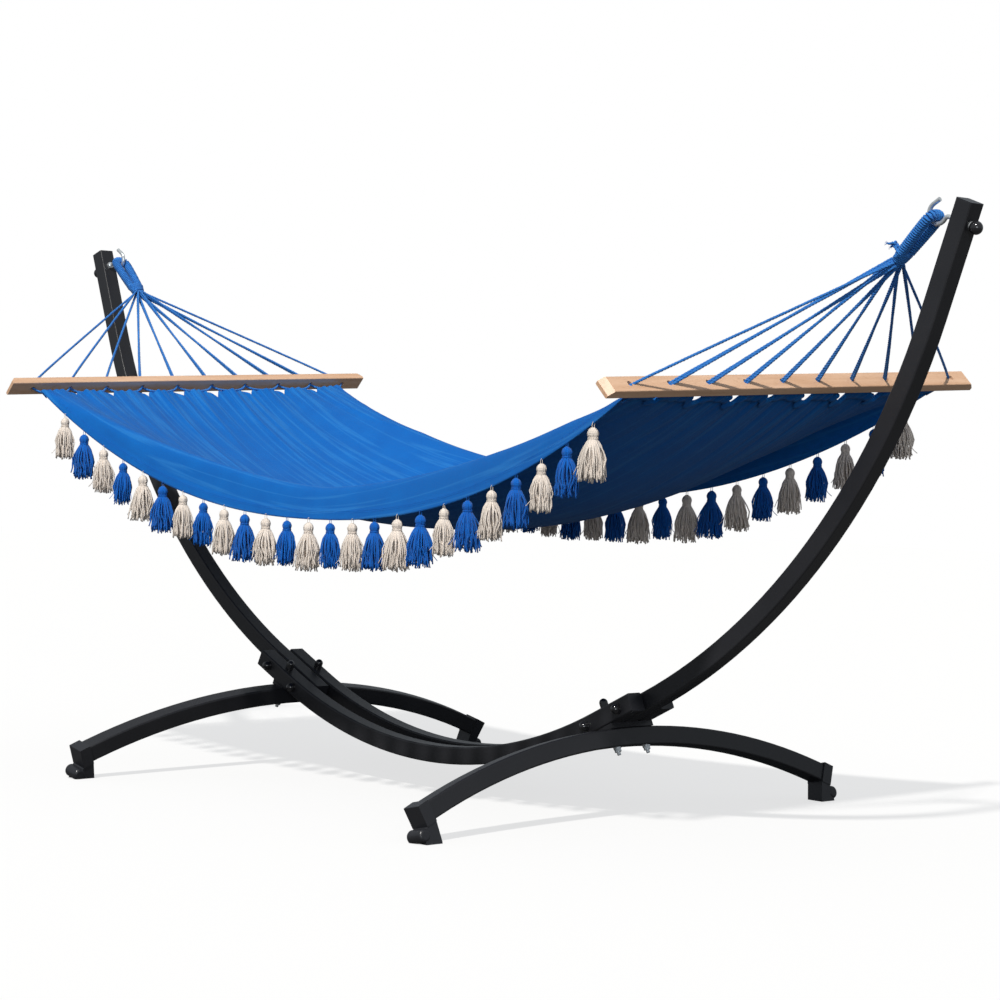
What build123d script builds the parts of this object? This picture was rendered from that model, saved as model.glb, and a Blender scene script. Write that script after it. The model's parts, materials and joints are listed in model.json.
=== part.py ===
import os
from math import acos, atan2, cos, floor, hypot, radians, sin, sqrt, tan

from build123d import *

os.makedirs("parts", exist_ok=True)

# Hammock on a bowed steel stand, in millimetres.
# X runs along the hammock, Y across it, and Z up from the floor it stands on.
# The origin is on the floor at the middle of the stand.

# Square tube of the stand
tube = 40.0
tube_wall = 1.5
tube_corner = 4.0

# Bow: two rails side by side in the middle, one upright on each end
rail_low = 85.0  # height of the rails' centreline at the middle
rail_radius = 1214.0
joint_slope = radians(25.8)
joint_straight = 113.0  # straight end of each rail, bolted to an upright
joint_along = 24.0  # middle of the joint, from the start of that straight end
upright_tail = 58.0  # how far an upright runs on below that start
upright_radius = 1441.0
top_slope = radians(69.8)
top_straight = 230.0
rail_gap = 4.0  # between an upright and each rail, held open by spacers

# Arched legs, leaning less than the square of the rails, on wedge saddles
leg_lean = radians(12.5)
leg_radius = 1575.0
leg_reach = 614.0  # from the middle plane to the end of the tube
saddle_thick = 6.0
saddle_width = 42.0
saddle_length = 124.0

# Moulded feet on the ends of the legs
foot_wall = 3.0
foot_fit = 0.35
foot_sleeve = 24.0
foot_end = 4.0
foot_grip = 40.0  # how far a foot reaches in under the tube, from its end
foot_inner_reach = leg_reach - foot_grip
toe_out = 2.0  # from the end of the tube to the middle of the round toe
toe_reach = leg_reach + toe_out
toe_radius = 14.5
toe_round = 7.0
foot_edge = 1.5

# Fasteners of the frame
bolt_size = 8.0
bolt_clear = 0.6
bolt_hole = bolt_size + bolt_clear
nut_across = 13.0
nut_thick = 6.5
head_thick = 5.3
washer_across = 17.0
washer_thick = 1.6
bolt_pitch = 104.0  # between the two cross bolts of a joint
spacer_across = 22.0
cap_across = 21.0
cap_height = 16.0
cap_flange = 24.0
cap_flange_thick = 2.0
cap_fit = 0.59  # over the corners of the nut
cap_bore = nut_across / cos(radians(30)) + cap_fit
tall_cap_across = 18.6
tall_cap_height = 22.0
bolt_stub = 2.0  # thread that stands out of a covered nut
leg_bolt_stub = 7.0
wedge_thick = 5.0  # tapered washer under a leg, at its middle

# Closures of the tube ends
lid_thick = 3.0
lid_skirt = 14.0
lid_skirt_wall = 2.0
lid_fit = 0.15

# Hooks
hook_rod = 9.0
hook_down = 40.7  # from the top of the upright to the hook's shank
hook_reach = 15.0  # straight shank inside the bow
hook_bend = 9.0
hook_bend_turn = 75.0
hook_ring = 21.0
hook_ring_turn = 205.0
hook_tip = 17.0
hook_nut_across = 15.0
hook_nut_thick = 7.0
hook_clear = 0.6
hook_hole = hook_rod + hook_clear
ball_radius = 13.5
ball_seat = 12.5
ball_fit = 0.28  # over the corners of the nut
ball_bore = hook_nut_across / cos(radians(30)) + ball_fit

# Hammock: bars, loops and cords
pull_angle = radians(43.7)  # the cords' rise from bar to hook, in the middle plane
hang_tilt = radians(2.6)  # the far side hangs a little higher than the near side
hook_to_bar = 452.0
bar_length = 1100.0
bar_width = 40.0
bar_thick = 20.0
bar_end_bevel = 12.0
bar_edge = 2.5
hole_count = 10
hole_pitch = 108.0
cord = 5.0
cord_gap = 0.4
hole_clear = 2.0  # round the two cords that pass through an inner hole
hole_size = 2 * cord + cord_gap + hole_clear
loop_rope = 23.0
loop_length = 83.0
loop_seat = 0.5  # rope to hook rod, in the line of pull
loop_side = 1.5  # rope to hook rod, at each side
binding_length = 26.0
lacing_reach = 22.0  # along the bar, from a hole to the cloth's channel
lacing_drop = 28.0  # from the bar's middle to the channel
mouth_round = 6.0
knot_size = 15.0
knot_rise = 46.0

# Cloth bed
cloth_thick = 6.0
bed_gap = 14.0  # from the bar's face to the cloth's end
end_dip = 5.0  # how far the cloth's end sags between its corners
bed_low = 595.0  # height of the middle line, halfway along
ridge_low = 708.0  # height of the tight line near each side
hem_low = 637.0  # height of the side hem
far_hem_rise = 15.0  # the far side's hem droops less
bed_power = 2.3
ridge_power = 1.5
hem_power = 2.25
cross_power = 2.2
ridge_half = 385.0
ridge_half_end = 450.0
hem_half = 425.0
hem_half_end = 465.0
flap_bulge = 4.0
bed_stations = 14

# Tassels along both side hems
tassel_count = 25
tassel_inset = 96.9  # from the end of the cloth to the first tassel
far_row_shift = 16.0  # the far row of tassels sits a little along from the near row
tassel_gap = 0.4
tassel_tip = 2.0
tassel_loop = 7.0
tassel_head = 12.5
tassel_neck = 8.0
tassel_skirt = 25.0
tassel_length = 110.0


def hollow_section():
    """Square tube section, drawn in the sketch that is open."""
    RectangleRounded(tube, tube, tube_corner)
    inner = tube - 2 * tube_wall
    RectangleRounded(inner, inner, tube_corner - tube_wall, mode=Mode.SUBTRACT)


def step(point, angle, distance):
    """The point of the bow's plane that lies this far along a slope."""
    return (point[0] + distance * cos(angle), point[1] + distance * sin(angle))


def place(point, across=0.0):
    """A point of the bow's plane, moved across it, as a vector in space."""
    return Vector(point[0], across, point[1])


def save(built, label):
    built.part.label = label
    export_step(built.part, f"parts/{label}.step")


# The bow's centreline, right half, as (x, z)
straight_start = (
    rail_radius * sin(joint_slope),
    rail_low + rail_radius * (1 - cos(joint_slope)),
)
rail_end = step(straight_start, joint_slope, joint_straight)
joint = step(straight_start, joint_slope, joint_along)
upright_foot = step(straight_start, joint_slope, -upright_tail)
upright_centre = step(rail_end, joint_slope + radians(90), upright_radius)
bend_end = step(upright_centre, top_slope - radians(90), upright_radius)
bend_middle = step(upright_centre, (joint_slope + top_slope) / 2 - radians(90), upright_radius)
upright_top = step(bend_end, top_slope, top_straight)

rail_y = tube + rail_gap
stack_face = rail_y + tube / 2  # outer face of the rails
along = place((cos(joint_slope), sin(joint_slope)))
square_up = place((-sin(joint_slope), cos(joint_slope)))

# The leg's plane and its centreline
leg_along = place((cos(leg_lean), sin(leg_lean)))
leg_up = place((-sin(leg_lean), cos(leg_lean)))
leg_top = place(joint) - square_up * (tube / 2 + saddle_thick) - leg_up * (tube / 2)
leg_plane = Plane(origin=leg_top, x_dir=(0, 1, 0), z_dir=leg_along)
leg_drop = leg_radius - sqrt(leg_radius**2 - leg_reach**2)
leg_end_angle = atan2(leg_reach, leg_radius - leg_drop)

# Square sections and joints of the frame
with BuildPart() as upright_right:
    with BuildLine(Plane.XZ) as upright_path:
        Line(upright_foot, rail_end)
        ThreePointArc(rail_end, bend_middle, bend_end)
        Line(bend_end, upright_top)
    with BuildSketch(Plane(origin=place(upright_foot), x_dir=(0, 1, 0), z_dir=along)):
        hollow_section()
    sweep(path=upright_path.wire())
    # cross bolt holes
    for side in (-1, 1):
        bolt_at = place(joint) + along * (side * bolt_pitch / 2)
        with BuildSketch(Plane(origin=bolt_at, x_dir=along, z_dir=(0, -1, 0))):
            Circle(bolt_hole / 2)
        extrude(amount=tube, both=True, mode=Mode.SUBTRACT)
    # hook shank hole
    hook_seat = step(upright_top, top_slope, -hook_down)
    hook_inward = place((-sin(top_slope), cos(top_slope)))
    with BuildSketch(Plane(origin=place(hook_seat), x_dir=(0, 1, 0), z_dir=hook_inward)):
        Circle(hook_hole / 2)
    extrude(amount=tube, both=True, mode=Mode.SUBTRACT)
save(upright_right, "upright_right")

with BuildPart() as upright_left:
    mirror(upright_right.part, about=Plane.YZ)
save(upright_left, "upright_left")


def mirrored(point):
    return (-point[0], point[1])


leg_bolt_holes = [(-rail_y, 0), (rail_y, 0)]

with BuildPart() as rail_front:
    with BuildLine(Plane.XZ.offset(rail_y)) as rail_path:
        Line(mirrored(rail_end), mirrored(straight_start))
        ThreePointArc(mirrored(straight_start), (0, rail_low), straight_start)
        Line(straight_start, rail_end)
    rail_start = place(mirrored(rail_end), -rail_y)
    with BuildSketch(Plane(origin=rail_start, x_dir=(0, 1, 0), z_dir=rail_path.wire() % 0)):
        hollow_section()
    sweep(path=rail_path.wire())
    for end in (-1, 1):
        direction = Vector(along.X, 0, end * along.Z)
        middle = Vector(end * joint[0], 0, joint[1])
        for side in (-1, 1):
            bolt_at = middle + direction * (side * bolt_pitch / 2)
            with BuildSketch(Plane(origin=bolt_at, x_dir=(1, 0, 0), z_dir=(0, -1, 0))):
                Circle(bolt_hole / 2)
            extrude(amount=rail_y + tube, mode=Mode.SUBTRACT)
        upward = Vector(end * square_up.X, 0, square_up.Z)
        bolt_at = middle + Vector(0, -rail_y, 0)
        with BuildSketch(Plane(origin=bolt_at, x_dir=(0, 1, 0), z_dir=upward)):
            Circle(bolt_hole / 2)
        extrude(amount=tube, both=True, mode=Mode.SUBTRACT)
save(rail_front, "rail_front")

with BuildPart() as rail_back:
    mirror(rail_front.part, about=Plane.XZ)
save(rail_back, "rail_back")

with BuildPart() as leg_right:
    with BuildLine(leg_plane) as leg_path:
        ThreePointArc((-leg_reach, -leg_drop), (0, 0), (leg_reach, -leg_drop))
    leg_start = leg_path.wire() @ 0
    with BuildSketch(Plane(origin=leg_start, x_dir=leg_along, z_dir=leg_path.wire() % 0)):
        hollow_section()
    sweep(path=leg_path.wire())
    with BuildSketch(Plane(origin=place(joint), x_dir=(0, 1, 0), z_dir=-square_up)):
        with Locations(*leg_bolt_holes):
            Circle(bolt_hole / 2)
    extrude(amount=3 * tube, mode=Mode.SUBTRACT)
save(leg_right, "leg_right")

with BuildPart() as leg_left:
    mirror(leg_right.part, about=Plane.YZ)
save(leg_left, "leg_left")

# Wedge saddle: flat against both rails, hollowed below to the leg's arch
with BuildPart() as saddle_right:
    saddle_top = place(joint) - square_up * (tube / 2)
    with BuildSketch(Plane(origin=saddle_top, x_dir=(0, 1, 0), z_dir=-square_up)):
        Rectangle(saddle_length, saddle_width)
        with Locations(*leg_bolt_holes):
            Circle(bolt_hole / 2, mode=Mode.SUBTRACT)
    extrude(amount=tube)
    with BuildSketch(leg_plane):
        with Locations((0, -leg_radius)):
            Circle(leg_radius + tube / 2)
    extrude(amount=2 * tube, both=True, mode=Mode.SUBTRACT)
save(saddle_right, "saddle_right")

with BuildPart() as saddle_left:
    mirror(saddle_right.part, about=Plane.YZ)
save(saddle_left, "saddle_left")

# Moulded foot: a sleeve over the tube's end, a heel down to the floor and a round toe
leg_end_out = (cos(leg_end_angle), -sin(leg_end_angle))
leg_end_up = (sin(leg_end_angle), cos(leg_end_angle))
sleeve_half = tube / 2 + foot_wall


def from_leg_end(out, up):
    """A point of the leg's plane, measured from the end of the leg's tube."""
    return (
        leg_reach + out * leg_end_out[0] + up * leg_end_up[0],
        -leg_drop + out * leg_end_out[1] + up * leg_end_up[1],
    )


floor_in_plane = -leg_top.Z / leg_up.Z
floor_margin = 2 * sleeve_half * tan(leg_lean)

with BuildPart() as foot_back_right:
    with BuildSketch(leg_plane):
        with Locations((toe_reach, floor_in_plane + toe_radius)):
            Circle(toe_radius)
    extrude(amount=sleeve_half, both=True)
    fillet(edges().filter_by(GeomType.CIRCLE), toe_round)
    with BuildSketch(leg_plane):
        Polygon(
            from_leg_end(-foot_sleeve, -sleeve_half),
            (foot_inner_reach, floor_in_plane),
            (foot_inner_reach, floor_in_plane - floor_margin),
            (toe_reach, floor_in_plane - floor_margin),
            (toe_reach, floor_in_plane + toe_radius),
            from_leg_end(foot_end, -sleeve_half),
            from_leg_end(0, 0),
            align=None,
        )
    extrude(amount=sleeve_half - foot_edge, both=True)
    with BuildSketch(leg_plane):
        Polygon(
            from_leg_end(-foot_sleeve, -sleeve_half),
            from_leg_end(foot_end, -sleeve_half),
            from_leg_end(foot_end, sleeve_half),
            from_leg_end(-foot_sleeve, sleeve_half),
            align=None,
        )
    extrude(amount=sleeve_half, both=True)
    end_corner = leg_plane.from_local_coords((*from_leg_end(foot_end, sleeve_half), 0))
    across_edges = edges().filter_by(Axis(leg_top, leg_plane.z_dir))
    fillet(across_edges.sort_by_distance(end_corner)[0], foot_edge)
    split(bisect_by=Plane.XY, keep=Keep.TOP)
    sleeve_start = Vector(leg_plane.from_local_coords((leg_reach, -leg_drop, 0)))
    tube_back = leg_path.wire() % 1
    with BuildSketch(Plane(origin=sleeve_start, x_dir=leg_along, z_dir=-tube_back)):
        RectangleRounded(tube + 2 * foot_fit, tube + 2 * foot_fit, tube_corner)
    extrude(amount=2 * foot_sleeve, mode=Mode.SUBTRACT)
save(foot_back_right, "foot_back_right")

for label, planes in (
    ("foot_front_right", [Plane.XZ]),
    ("foot_back_left", [Plane.YZ]),
    ("foot_front_left", [Plane.XZ, Plane.YZ]),
):
    foot_shape = foot_back_right.part
    for mirror_plane in planes:
        foot_shape = foot_shape.mirror(mirror_plane)
    with BuildPart() as foot:
        add(foot_shape)
    save(foot, label)


def both_ends(shape):
    """The shape and its copy on the other end of the stand."""
    return [shape, shape.mirror(Plane.YZ)]


def both_sides(shape):
    """The shape and its copy on the other side of the middle plane."""
    return [shape, shape.mirror(Plane.XZ)]


def end_lid(plane):
    """Flat lid on a tube's end, with a skirt that plugs into the tube."""
    with BuildPart() as lid:
        with BuildSketch(plane):
            RectangleRounded(tube, tube, tube_corner)
        extrude(amount=lid_thick)
        plug = tube - 2 * tube_wall - 2 * lid_fit
        with BuildSketch(plane):
            RectangleRounded(plug, plug, tube_corner - tube_wall)
            core = plug - 2 * lid_skirt_wall
            RectangleRounded(core, core, 0.5, mode=Mode.SUBTRACT)
        extrude(amount=-lid_skirt)
    return lid.part


top_direction = place((cos(top_slope), sin(top_slope)))
top_lid = end_lid(Plane(origin=place(upright_top), x_dir=(0, 1, 0), z_dir=top_direction))
with BuildPart() as upright_top_caps:
    add(both_ends(top_lid))
save(upright_top_caps, "upright_top_caps")

foot_lid = end_lid(Plane(origin=place(upright_foot), x_dir=(0, 1, 0), z_dir=-along))
with BuildPart() as upright_end_plugs:
    add(both_ends(foot_lid))
save(upright_end_plugs, "upright_end_plugs")

rail_lid = end_lid(Plane(origin=place(rail_end, rail_y), x_dir=(0, 1, 0), z_dir=along))
with BuildPart() as rail_end_caps:
    for lid in both_ends(rail_lid):
        add(both_sides(lid))
save(rail_end_caps, "rail_end_caps")


# Fasteners, each drawn standing on the plane it bears on
def ring(plane, across, bore, thick):
    with BuildPart() as shape:
        with BuildSketch(plane):
            Circle(across / 2)
            Circle(bore / 2, mode=Mode.SUBTRACT)
        extrude(amount=thick)
    return shape.part


def hex_nut(plane, across, bore, thick):
    with BuildPart() as shape:
        with BuildSketch(plane):
            RegularPolygon(across / 2, 6, major_radius=False)
            if bore:
                Circle(bore / 2, mode=Mode.SUBTRACT)
        extrude(amount=thick)
    return shape.part


def hex_bolt(plane, length):
    """Hexagon head standing on the plane, with its shank running down behind it."""
    with BuildPart() as shape:
        with BuildSketch(plane):
            RegularPolygon(nut_across / 2, 6, major_radius=False)
        extrude(amount=head_thick)
        with BuildSketch(plane):
            Circle(bolt_size / 2)
        extrude(amount=-length)
    return shape.part


def dome_cap(plane, across, height, flange):
    """Round-topped cover, hollow for the head or nut under it."""
    straight = height - across / 2
    with BuildPart() as shape:
        with BuildSketch(plane):
            Circle(across / 2)
        extrude(amount=straight)
        with Locations(plane.offset(straight)):
            Sphere(across / 2, arc_size1=0, align=(Align.CENTER, Align.CENTER, Align.MIN))
        if flange:
            with BuildSketch(plane):
                Circle(flange / 2)
            extrude(amount=cap_flange_thick)
        with BuildSketch(plane):
            Circle(cap_bore / 2)
        extrude(amount=washer_thick + nut_thick + bolt_stub, mode=Mode.SUBTRACT)
    return shape.part


def facing(origin, direction):
    return Plane(origin=origin, x_dir=(0, 1, 0) if abs(direction.Y) < 0.5 else (1, 0, 0), z_dir=direction)


front = Vector(0, -1, 0)
back = Vector(0, 1, 0)
cross_points = [place(joint) + along * (side * bolt_pitch / 2) for side in (-1, 1)]
bolt_reach = 2 * stack_face + 2 * washer_thick + nut_thick + bolt_stub

with BuildPart() as joint_spacers:
    for point in cross_points:
        spacer = ring(facing(point + back * (tube / 2), back), spacer_across, bolt_hole, rail_gap)
        for shape in both_sides(spacer):
            add(both_ends(shape))
save(joint_spacers, "joint_spacers")

with BuildPart() as joint_washers:
    for point in cross_points:
        washer = ring(facing(point + back * stack_face, back), washer_across - 2, bolt_hole, washer_thick)
        for shape in both_sides(washer):
            add(both_ends(shape))
save(joint_washers, "joint_washers")

head_face = stack_face + washer_thick
with BuildPart() as joint_bolts:
    for point in cross_points:
        add(both_ends(hex_bolt(facing(point + back * head_face, back), bolt_reach)))
save(joint_bolts, "joint_bolts")

with BuildPart() as joint_nuts:
    for point in cross_points:
        nut = hex_nut(facing(point + front * head_face, front), nut_across, bolt_size, nut_thick)
        add(both_ends(nut))
save(joint_nuts, "joint_nuts")

with BuildPart() as joint_bolt_caps:
    for point in cross_points:
        cap = dome_cap(facing(point + back * stack_face, back), cap_across, cap_height, cap_flange)
        for shape in both_sides(cap):
            add(both_ends(shape))
save(joint_bolt_caps, "joint_bolt_caps")

# Leg bolts: down through each rail, the saddle and the leg
rail_top = place(joint, rail_y) + square_up * (tube / 2)
leg_slant = joint_slope - leg_lean
leg_depth = tube + saddle_thick + tube / cos(leg_slant)
wedge_face = rail_top - square_up * (leg_depth + wedge_thick)

with BuildPart() as leg_bolts:
    leg_bolt_length = leg_depth + wedge_thick + nut_thick + leg_bolt_stub
    leg_bolt = hex_bolt(facing(rail_top, square_up), leg_bolt_length)
    for shape in both_sides(leg_bolt):
        add(both_ends(shape))
save(leg_bolts, "leg_bolts")

with BuildPart() as leg_bolt_caps:
    cap = dome_cap(facing(rail_top, square_up), tall_cap_across, tall_cap_height, 0)
    for shape in both_sides(cap):
        add(both_ends(shape))
save(leg_bolt_caps, "leg_bolt_caps")

with BuildPart() as wedge:
    with BuildSketch(facing(wedge_face, square_up)):
        Circle(washer_across / 2)
        Circle(bolt_hole / 2, mode=Mode.SUBTRACT)
    extrude(amount=4 * wedge_thick)
    with BuildSketch(leg_plane):
        with Locations((0, -leg_radius)):
            Circle(leg_radius - tube / 2)
    extrude(amount=2 * tube, both=True, mode=Mode.INTERSECT)
with BuildPart() as leg_wedge_washers:
    for shape in both_sides(wedge.part):
        add(both_ends(shape))
save(leg_wedge_washers, "leg_wedge_washers")

with BuildPart() as leg_nuts:
    nut = hex_nut(facing(wedge_face, -square_up), nut_across, bolt_size, nut_thick)
    for shape in both_sides(nut):
        add(both_ends(shape))
save(leg_nuts, "leg_nuts")

# Hook: a threaded shank through the upright, bent down into an open ring
hook_face = place(hook_seat) + hook_inward * (tube / 2)
hook_back = place(hook_seat) - hook_inward * (tube / 2)
hook_plane = Plane(origin=hook_face, x_dir=hook_inward, z_dir=(0, -1, 0))
shank_behind = tube + washer_thick + hook_nut_thick + bolt_stub

with BuildPart() as hook_right:
    with BuildLine(hook_plane) as hook_path:
        Line((-shank_behind, 0), (hook_reach, 0))
        bend = CenterArc((hook_reach, hook_bend), hook_bend, -90, hook_bend_turn)
        turn = radians(hook_bend_turn)
        bend_end_at = (hook_reach + hook_bend * sin(turn), hook_bend * (1 - cos(turn)))
        ring_centre = (
            bend_end_at[0] + hook_ring * sin(turn),
            bend_end_at[1] - hook_ring * cos(turn),
        )
        CenterArc(ring_centre, hook_ring, 90 + hook_bend_turn, -hook_ring_turn)
        tip_angle = radians(90 + hook_bend_turn - hook_ring_turn)
        tip_start = (
            ring_centre[0] + hook_ring * cos(tip_angle),
            ring_centre[1] + hook_ring * sin(tip_angle),
        )
        tip_end = (
            tip_start[0] + hook_tip * sin(tip_angle),
            tip_start[1] - hook_tip * cos(tip_angle),
        )
        Line(tip_start, tip_end)
    shank_start = hook_face - hook_inward * shank_behind
    with BuildSketch(Plane(origin=shank_start, x_dir=(0, 1, 0), z_dir=hook_inward)):
        Circle(hook_rod / 2)
    sweep(path=hook_path.wire())
save(hook_right, "hook_right")

with BuildPart() as hook_left:
    mirror(hook_right.part, about=Plane.YZ)
save(hook_left, "hook_left")

with BuildPart() as hook_nuts:
    inner = hex_nut(facing(hook_face, hook_inward), hook_nut_across, hook_rod, hook_nut_thick)
    outer_face = hook_back - hook_inward * washer_thick
    outer = hex_nut(facing(outer_face, -hook_inward), hook_nut_across, hook_rod, hook_nut_thick)
    add(both_ends(inner))
    add(both_ends(outer))
save(hook_nuts, "hook_nuts")

with BuildPart() as hook_washers:
    add(both_ends(ring(facing(hook_back, -hook_inward), washer_across, hook_hole, washer_thick)))
save(hook_washers, "hook_washers")

with BuildPart() as ball:
    ball_plane = facing(hook_back, -hook_inward)
    with Locations(ball_plane.offset(ball_seat)):
        Sphere(ball_radius)
    with BuildSketch(ball_plane):
        Circle(ball_radius)
    extrude(amount=-ball_radius, mode=Mode.SUBTRACT)
    with BuildSketch(ball_plane):
        Circle(ball_bore / 2)
    extrude(amount=washer_thick + hook_nut_thick + bolt_stub, mode=Mode.SUBTRACT)
with BuildPart() as hook_ball_caps:
    add(both_ends(ball.part))
save(hook_ball_caps, "hook_ball_caps")

# Line of pull: from the hook's ring down to the bar
pull = place((cos(pull_angle), sin(pull_angle)))
pull_side = place((-sin(pull_angle), cos(pull_angle)))
ring_middle = Vector(hook_plane.from_local_coords((ring_centre[0], ring_centre[1], 0)))
hang_point = ring_middle - pull * hook_ring
bar_middle = hang_point - pull * hook_to_bar
gather = hang_point - pull * loop_length

# Wound rope loop round the hook's ring, with both legs side by side at the gather
rope_half = loop_rope / 2
turn_radius = hook_rod / 2 + loop_side + rope_half
turn_shift = loop_side - loop_seat
leg_offset = rope_half + cord_gap
with BuildPart() as hanging_loop_right:
    turn_centre = hang_point - pull * turn_shift
    loop_plane = Plane(origin=turn_centre, x_dir=(0, 1, 0), z_dir=-pull_side)
    leg_length = loop_length - turn_shift
    leg_distance = hypot(leg_length, leg_offset)
    contact_angle = atan2(-leg_length, leg_offset) + acos(turn_radius / leg_distance)
    contact = (turn_radius * cos(contact_angle), turn_radius * sin(contact_angle))
    with BuildLine(loop_plane) as loop_path:
        Line((leg_offset, -leg_length), contact)
        ThreePointArc(contact, (0, turn_radius), (-contact[0], contact[1]))
        Line((-contact[0], contact[1]), (-leg_offset, -leg_length))
    start = loop_path.wire() @ 0
    with BuildSketch(Plane(origin=start, z_dir=loop_path.wire() % 0)):
        Circle(rope_half)
    sweep(path=loop_path.wire())
save(hanging_loop_right, "hanging_loop_right")

with BuildPart() as hanging_loop_left:
    mirror(hanging_loop_right.part, about=Plane.YZ)
save(hanging_loop_left, "hanging_loop_left")

# Cord binding round the gather, with a tied end standing off the right one
strand_step = cord + cord_gap
fan_columns = (hole_count + 1) // 2
fan_width = fan_columns * strand_step
fan_depth = 4 * strand_step
gather_plane = Plane(origin=gather, x_dir=(0, 1, 0), z_dir=-pull)
with BuildPart() as gather_binding_right:
    with BuildSketch(gather_plane):
        SlotOverall(2 * loop_rope + 2 * cord_gap + 2, loop_rope + 2)
    with BuildSketch(gather_plane.offset(binding_length)):
        SlotOverall(fan_width + cord + 2, fan_depth + 2)
    loft()
save(gather_binding_right, "gather_binding_right")

with BuildPart() as gather_binding_left:
    mirror(gather_binding_right.part, about=Plane.YZ)
save(gather_binding_left, "gather_binding_left")

with BuildPart() as tie_knot:
    knot_base = gather - pull * (binding_length / 3)
    with BuildSketch(Plane(origin=knot_base + pull_side * (rope_half - 1), z_dir=pull_side)):
        Circle(cord)
    extrude(amount=knot_rise - rope_half)
    with Locations(knot_base + pull_side * knot_rise):
        Sphere(knot_size / 2)
save(tie_knot, "tie_knot")

# Spreader bar: flat wood with a hole for each pair of strands
bar_axis = Vector(0, cos(hang_tilt), sin(hang_tilt))
bar_normal = Vector(pull.X, -pull.Z * sin(hang_tilt), pull.Z * cos(hang_tilt))
bar_plane = Plane(origin=bar_middle, x_dir=bar_axis, z_dir=bar_normal)
hole_places = [(hole - (hole_count - 1) / 2) * hole_pitch for hole in range(hole_count)]
with BuildPart() as spreader_bar_right:
    with BuildSketch(bar_plane):
        Rectangle(bar_length, bar_width)
    extrude(amount=bar_thick / 2, both=True)
    top_face = faces().sort_by(Axis(bar_middle, bar_normal)).last
    chamfer(top_face.edges().filter_by(lambda e: e.length < 2 * bar_width), bar_end_bevel)
    fillet(edges().filter_by(lambda e: e.length > bar_length / 2), bar_edge)
    with BuildSketch(bar_plane):
        with Locations(*[(place_along, 0) for place_along in hole_places]):
            Circle(hole_size / 2)
    extrude(amount=bar_thick, both=True, mode=Mode.SUBTRACT)
save(spreader_bar_right, "spreader_bar_right")

with BuildPart() as spreader_bar_left:
    mirror(spreader_bar_right.part, about=Plane.YZ)
save(spreader_bar_left, "spreader_bar_left")

# Cords: each runs from the gather through a hole, along the cloth's end channel,
# back through the next hole and up to the gather again
fan_plane = Plane(origin=gather - pull * binding_length, x_dir=(0, 1, 0), z_dir=pull)


def fan_start(hole, half):
    """Where a strand leaves the binding: two layers of stacked pairs."""
    layer = strand_step if hole % 2 == 0 else -strand_step
    column = (hole // 2 - (fan_columns - 1) / 2) * strand_step
    return Vector(fan_plane.from_local_coords((column, layer + half * strand_step / 2, 0)))


def at_bar(along_bar, half, out):
    side = 0 if abs(along_bar) > max(hole_places) - 1 else half * strand_step / 2
    return Vector(bar_plane.from_local_coords((along_bar, side, out)))


with BuildPart() as cords_right:
    for hole in range(hole_count - 1):
        near = hole_places[hole]
        far = hole_places[hole + 1]
        route = [
            fan_start(hole, -1),
            at_bar(near, -1, bar_thick / 2),
            at_bar(near, -1, -bar_thick / 2),
            Vector(bar_plane.from_local_coords((near + lacing_reach, 0, -lacing_drop))),
            Vector(bar_plane.from_local_coords((far - lacing_reach, 0, -lacing_drop))),
            at_bar(far, 1, -bar_thick / 2),
            at_bar(far, 1, bar_thick / 2),
            fan_start(hole + 1, 1),
        ]
        with BuildLine() as cord_path:
            FilletPolyline(*route, radius=mouth_round)
        cord_wire = cord_path.wire()
        with BuildSketch(Plane(origin=cord_wire @ 0, z_dir=cord_wire % 0)):
            Circle(cord / 2)
        sweep(path=cord_wire)
save(cords_right, "cords_right")

with BuildPart() as cords_left:
    mirror(cords_right.part, about=Plane.YZ)
save(cords_left, "cords_left")

# Cloth bed: a hollow between two tight ridges, with side flaps that droop to the hems
bed_end = bar_middle - pull * (bar_thick / 2 + bed_gap)
bed_half = bed_end.X


def grow(low, high, power, share):
    return low + (high - low) * share**power


def bed_side(x, side):
    """Points from the middle line to one side hem, on the cloth's middle surface, as (y, z)."""
    share = abs(x) / bed_half
    middle = grow(bed_low, bed_end.Z - end_dip, bed_power, share)
    ridge = grow(ridge_low, bed_end.Z, ridge_power, share)
    hem_start = hem_low + (far_hem_rise if side > 0 else 0)
    hem = grow(hem_start, bed_end.Z, hem_power, share)
    ridge_y = grow(ridge_half, ridge_half_end, 2, share)
    hem_y = grow(hem_half, hem_half_end, 2, share)
    points = [
        (side * ridge_y * part, middle + (ridge - middle) * part**cross_power)
        for part in (0.0, 0.25, 0.5, 0.7, 0.86, 1.0)
    ]
    points.append((side * ((ridge_y + hem_y) / 2 + flap_bulge), (ridge + hem) / 2 + 1.5 * flap_bulge))
    points.append((side * hem_y, hem))
    return points, middle


def hang(x, y, z, middle):
    """A point of the level bed after it is tilted about its own middle line."""
    return Vector(
        x,
        y * cos(hang_tilt) - (z - middle) * sin(hang_tilt),
        middle + y * sin(hang_tilt) + (z - middle) * cos(hang_tilt),
    )


with BuildPart() as bed:
    for station in range(bed_stations + 1):
        x = bed_half * (2 * station / bed_stations - 1)
        near_points, middle = bed_side(x, -1)
        points = near_points[:0:-1] + bed_side(x, 1)[0]
        upper = [hang(x, y, z + cloth_thick / 2, middle) for y, z in points]
        lower = [hang(x, y, z - cloth_thick / 2, middle) for y, z in points]
        outline = [(p.Y, p.Z) for p in upper + lower[::-1]]
        with BuildSketch(Plane.YZ.offset(x)):
            Polygon(*outline, align=None)
    loft(ruled=True)
save(bed, "bed")


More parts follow.
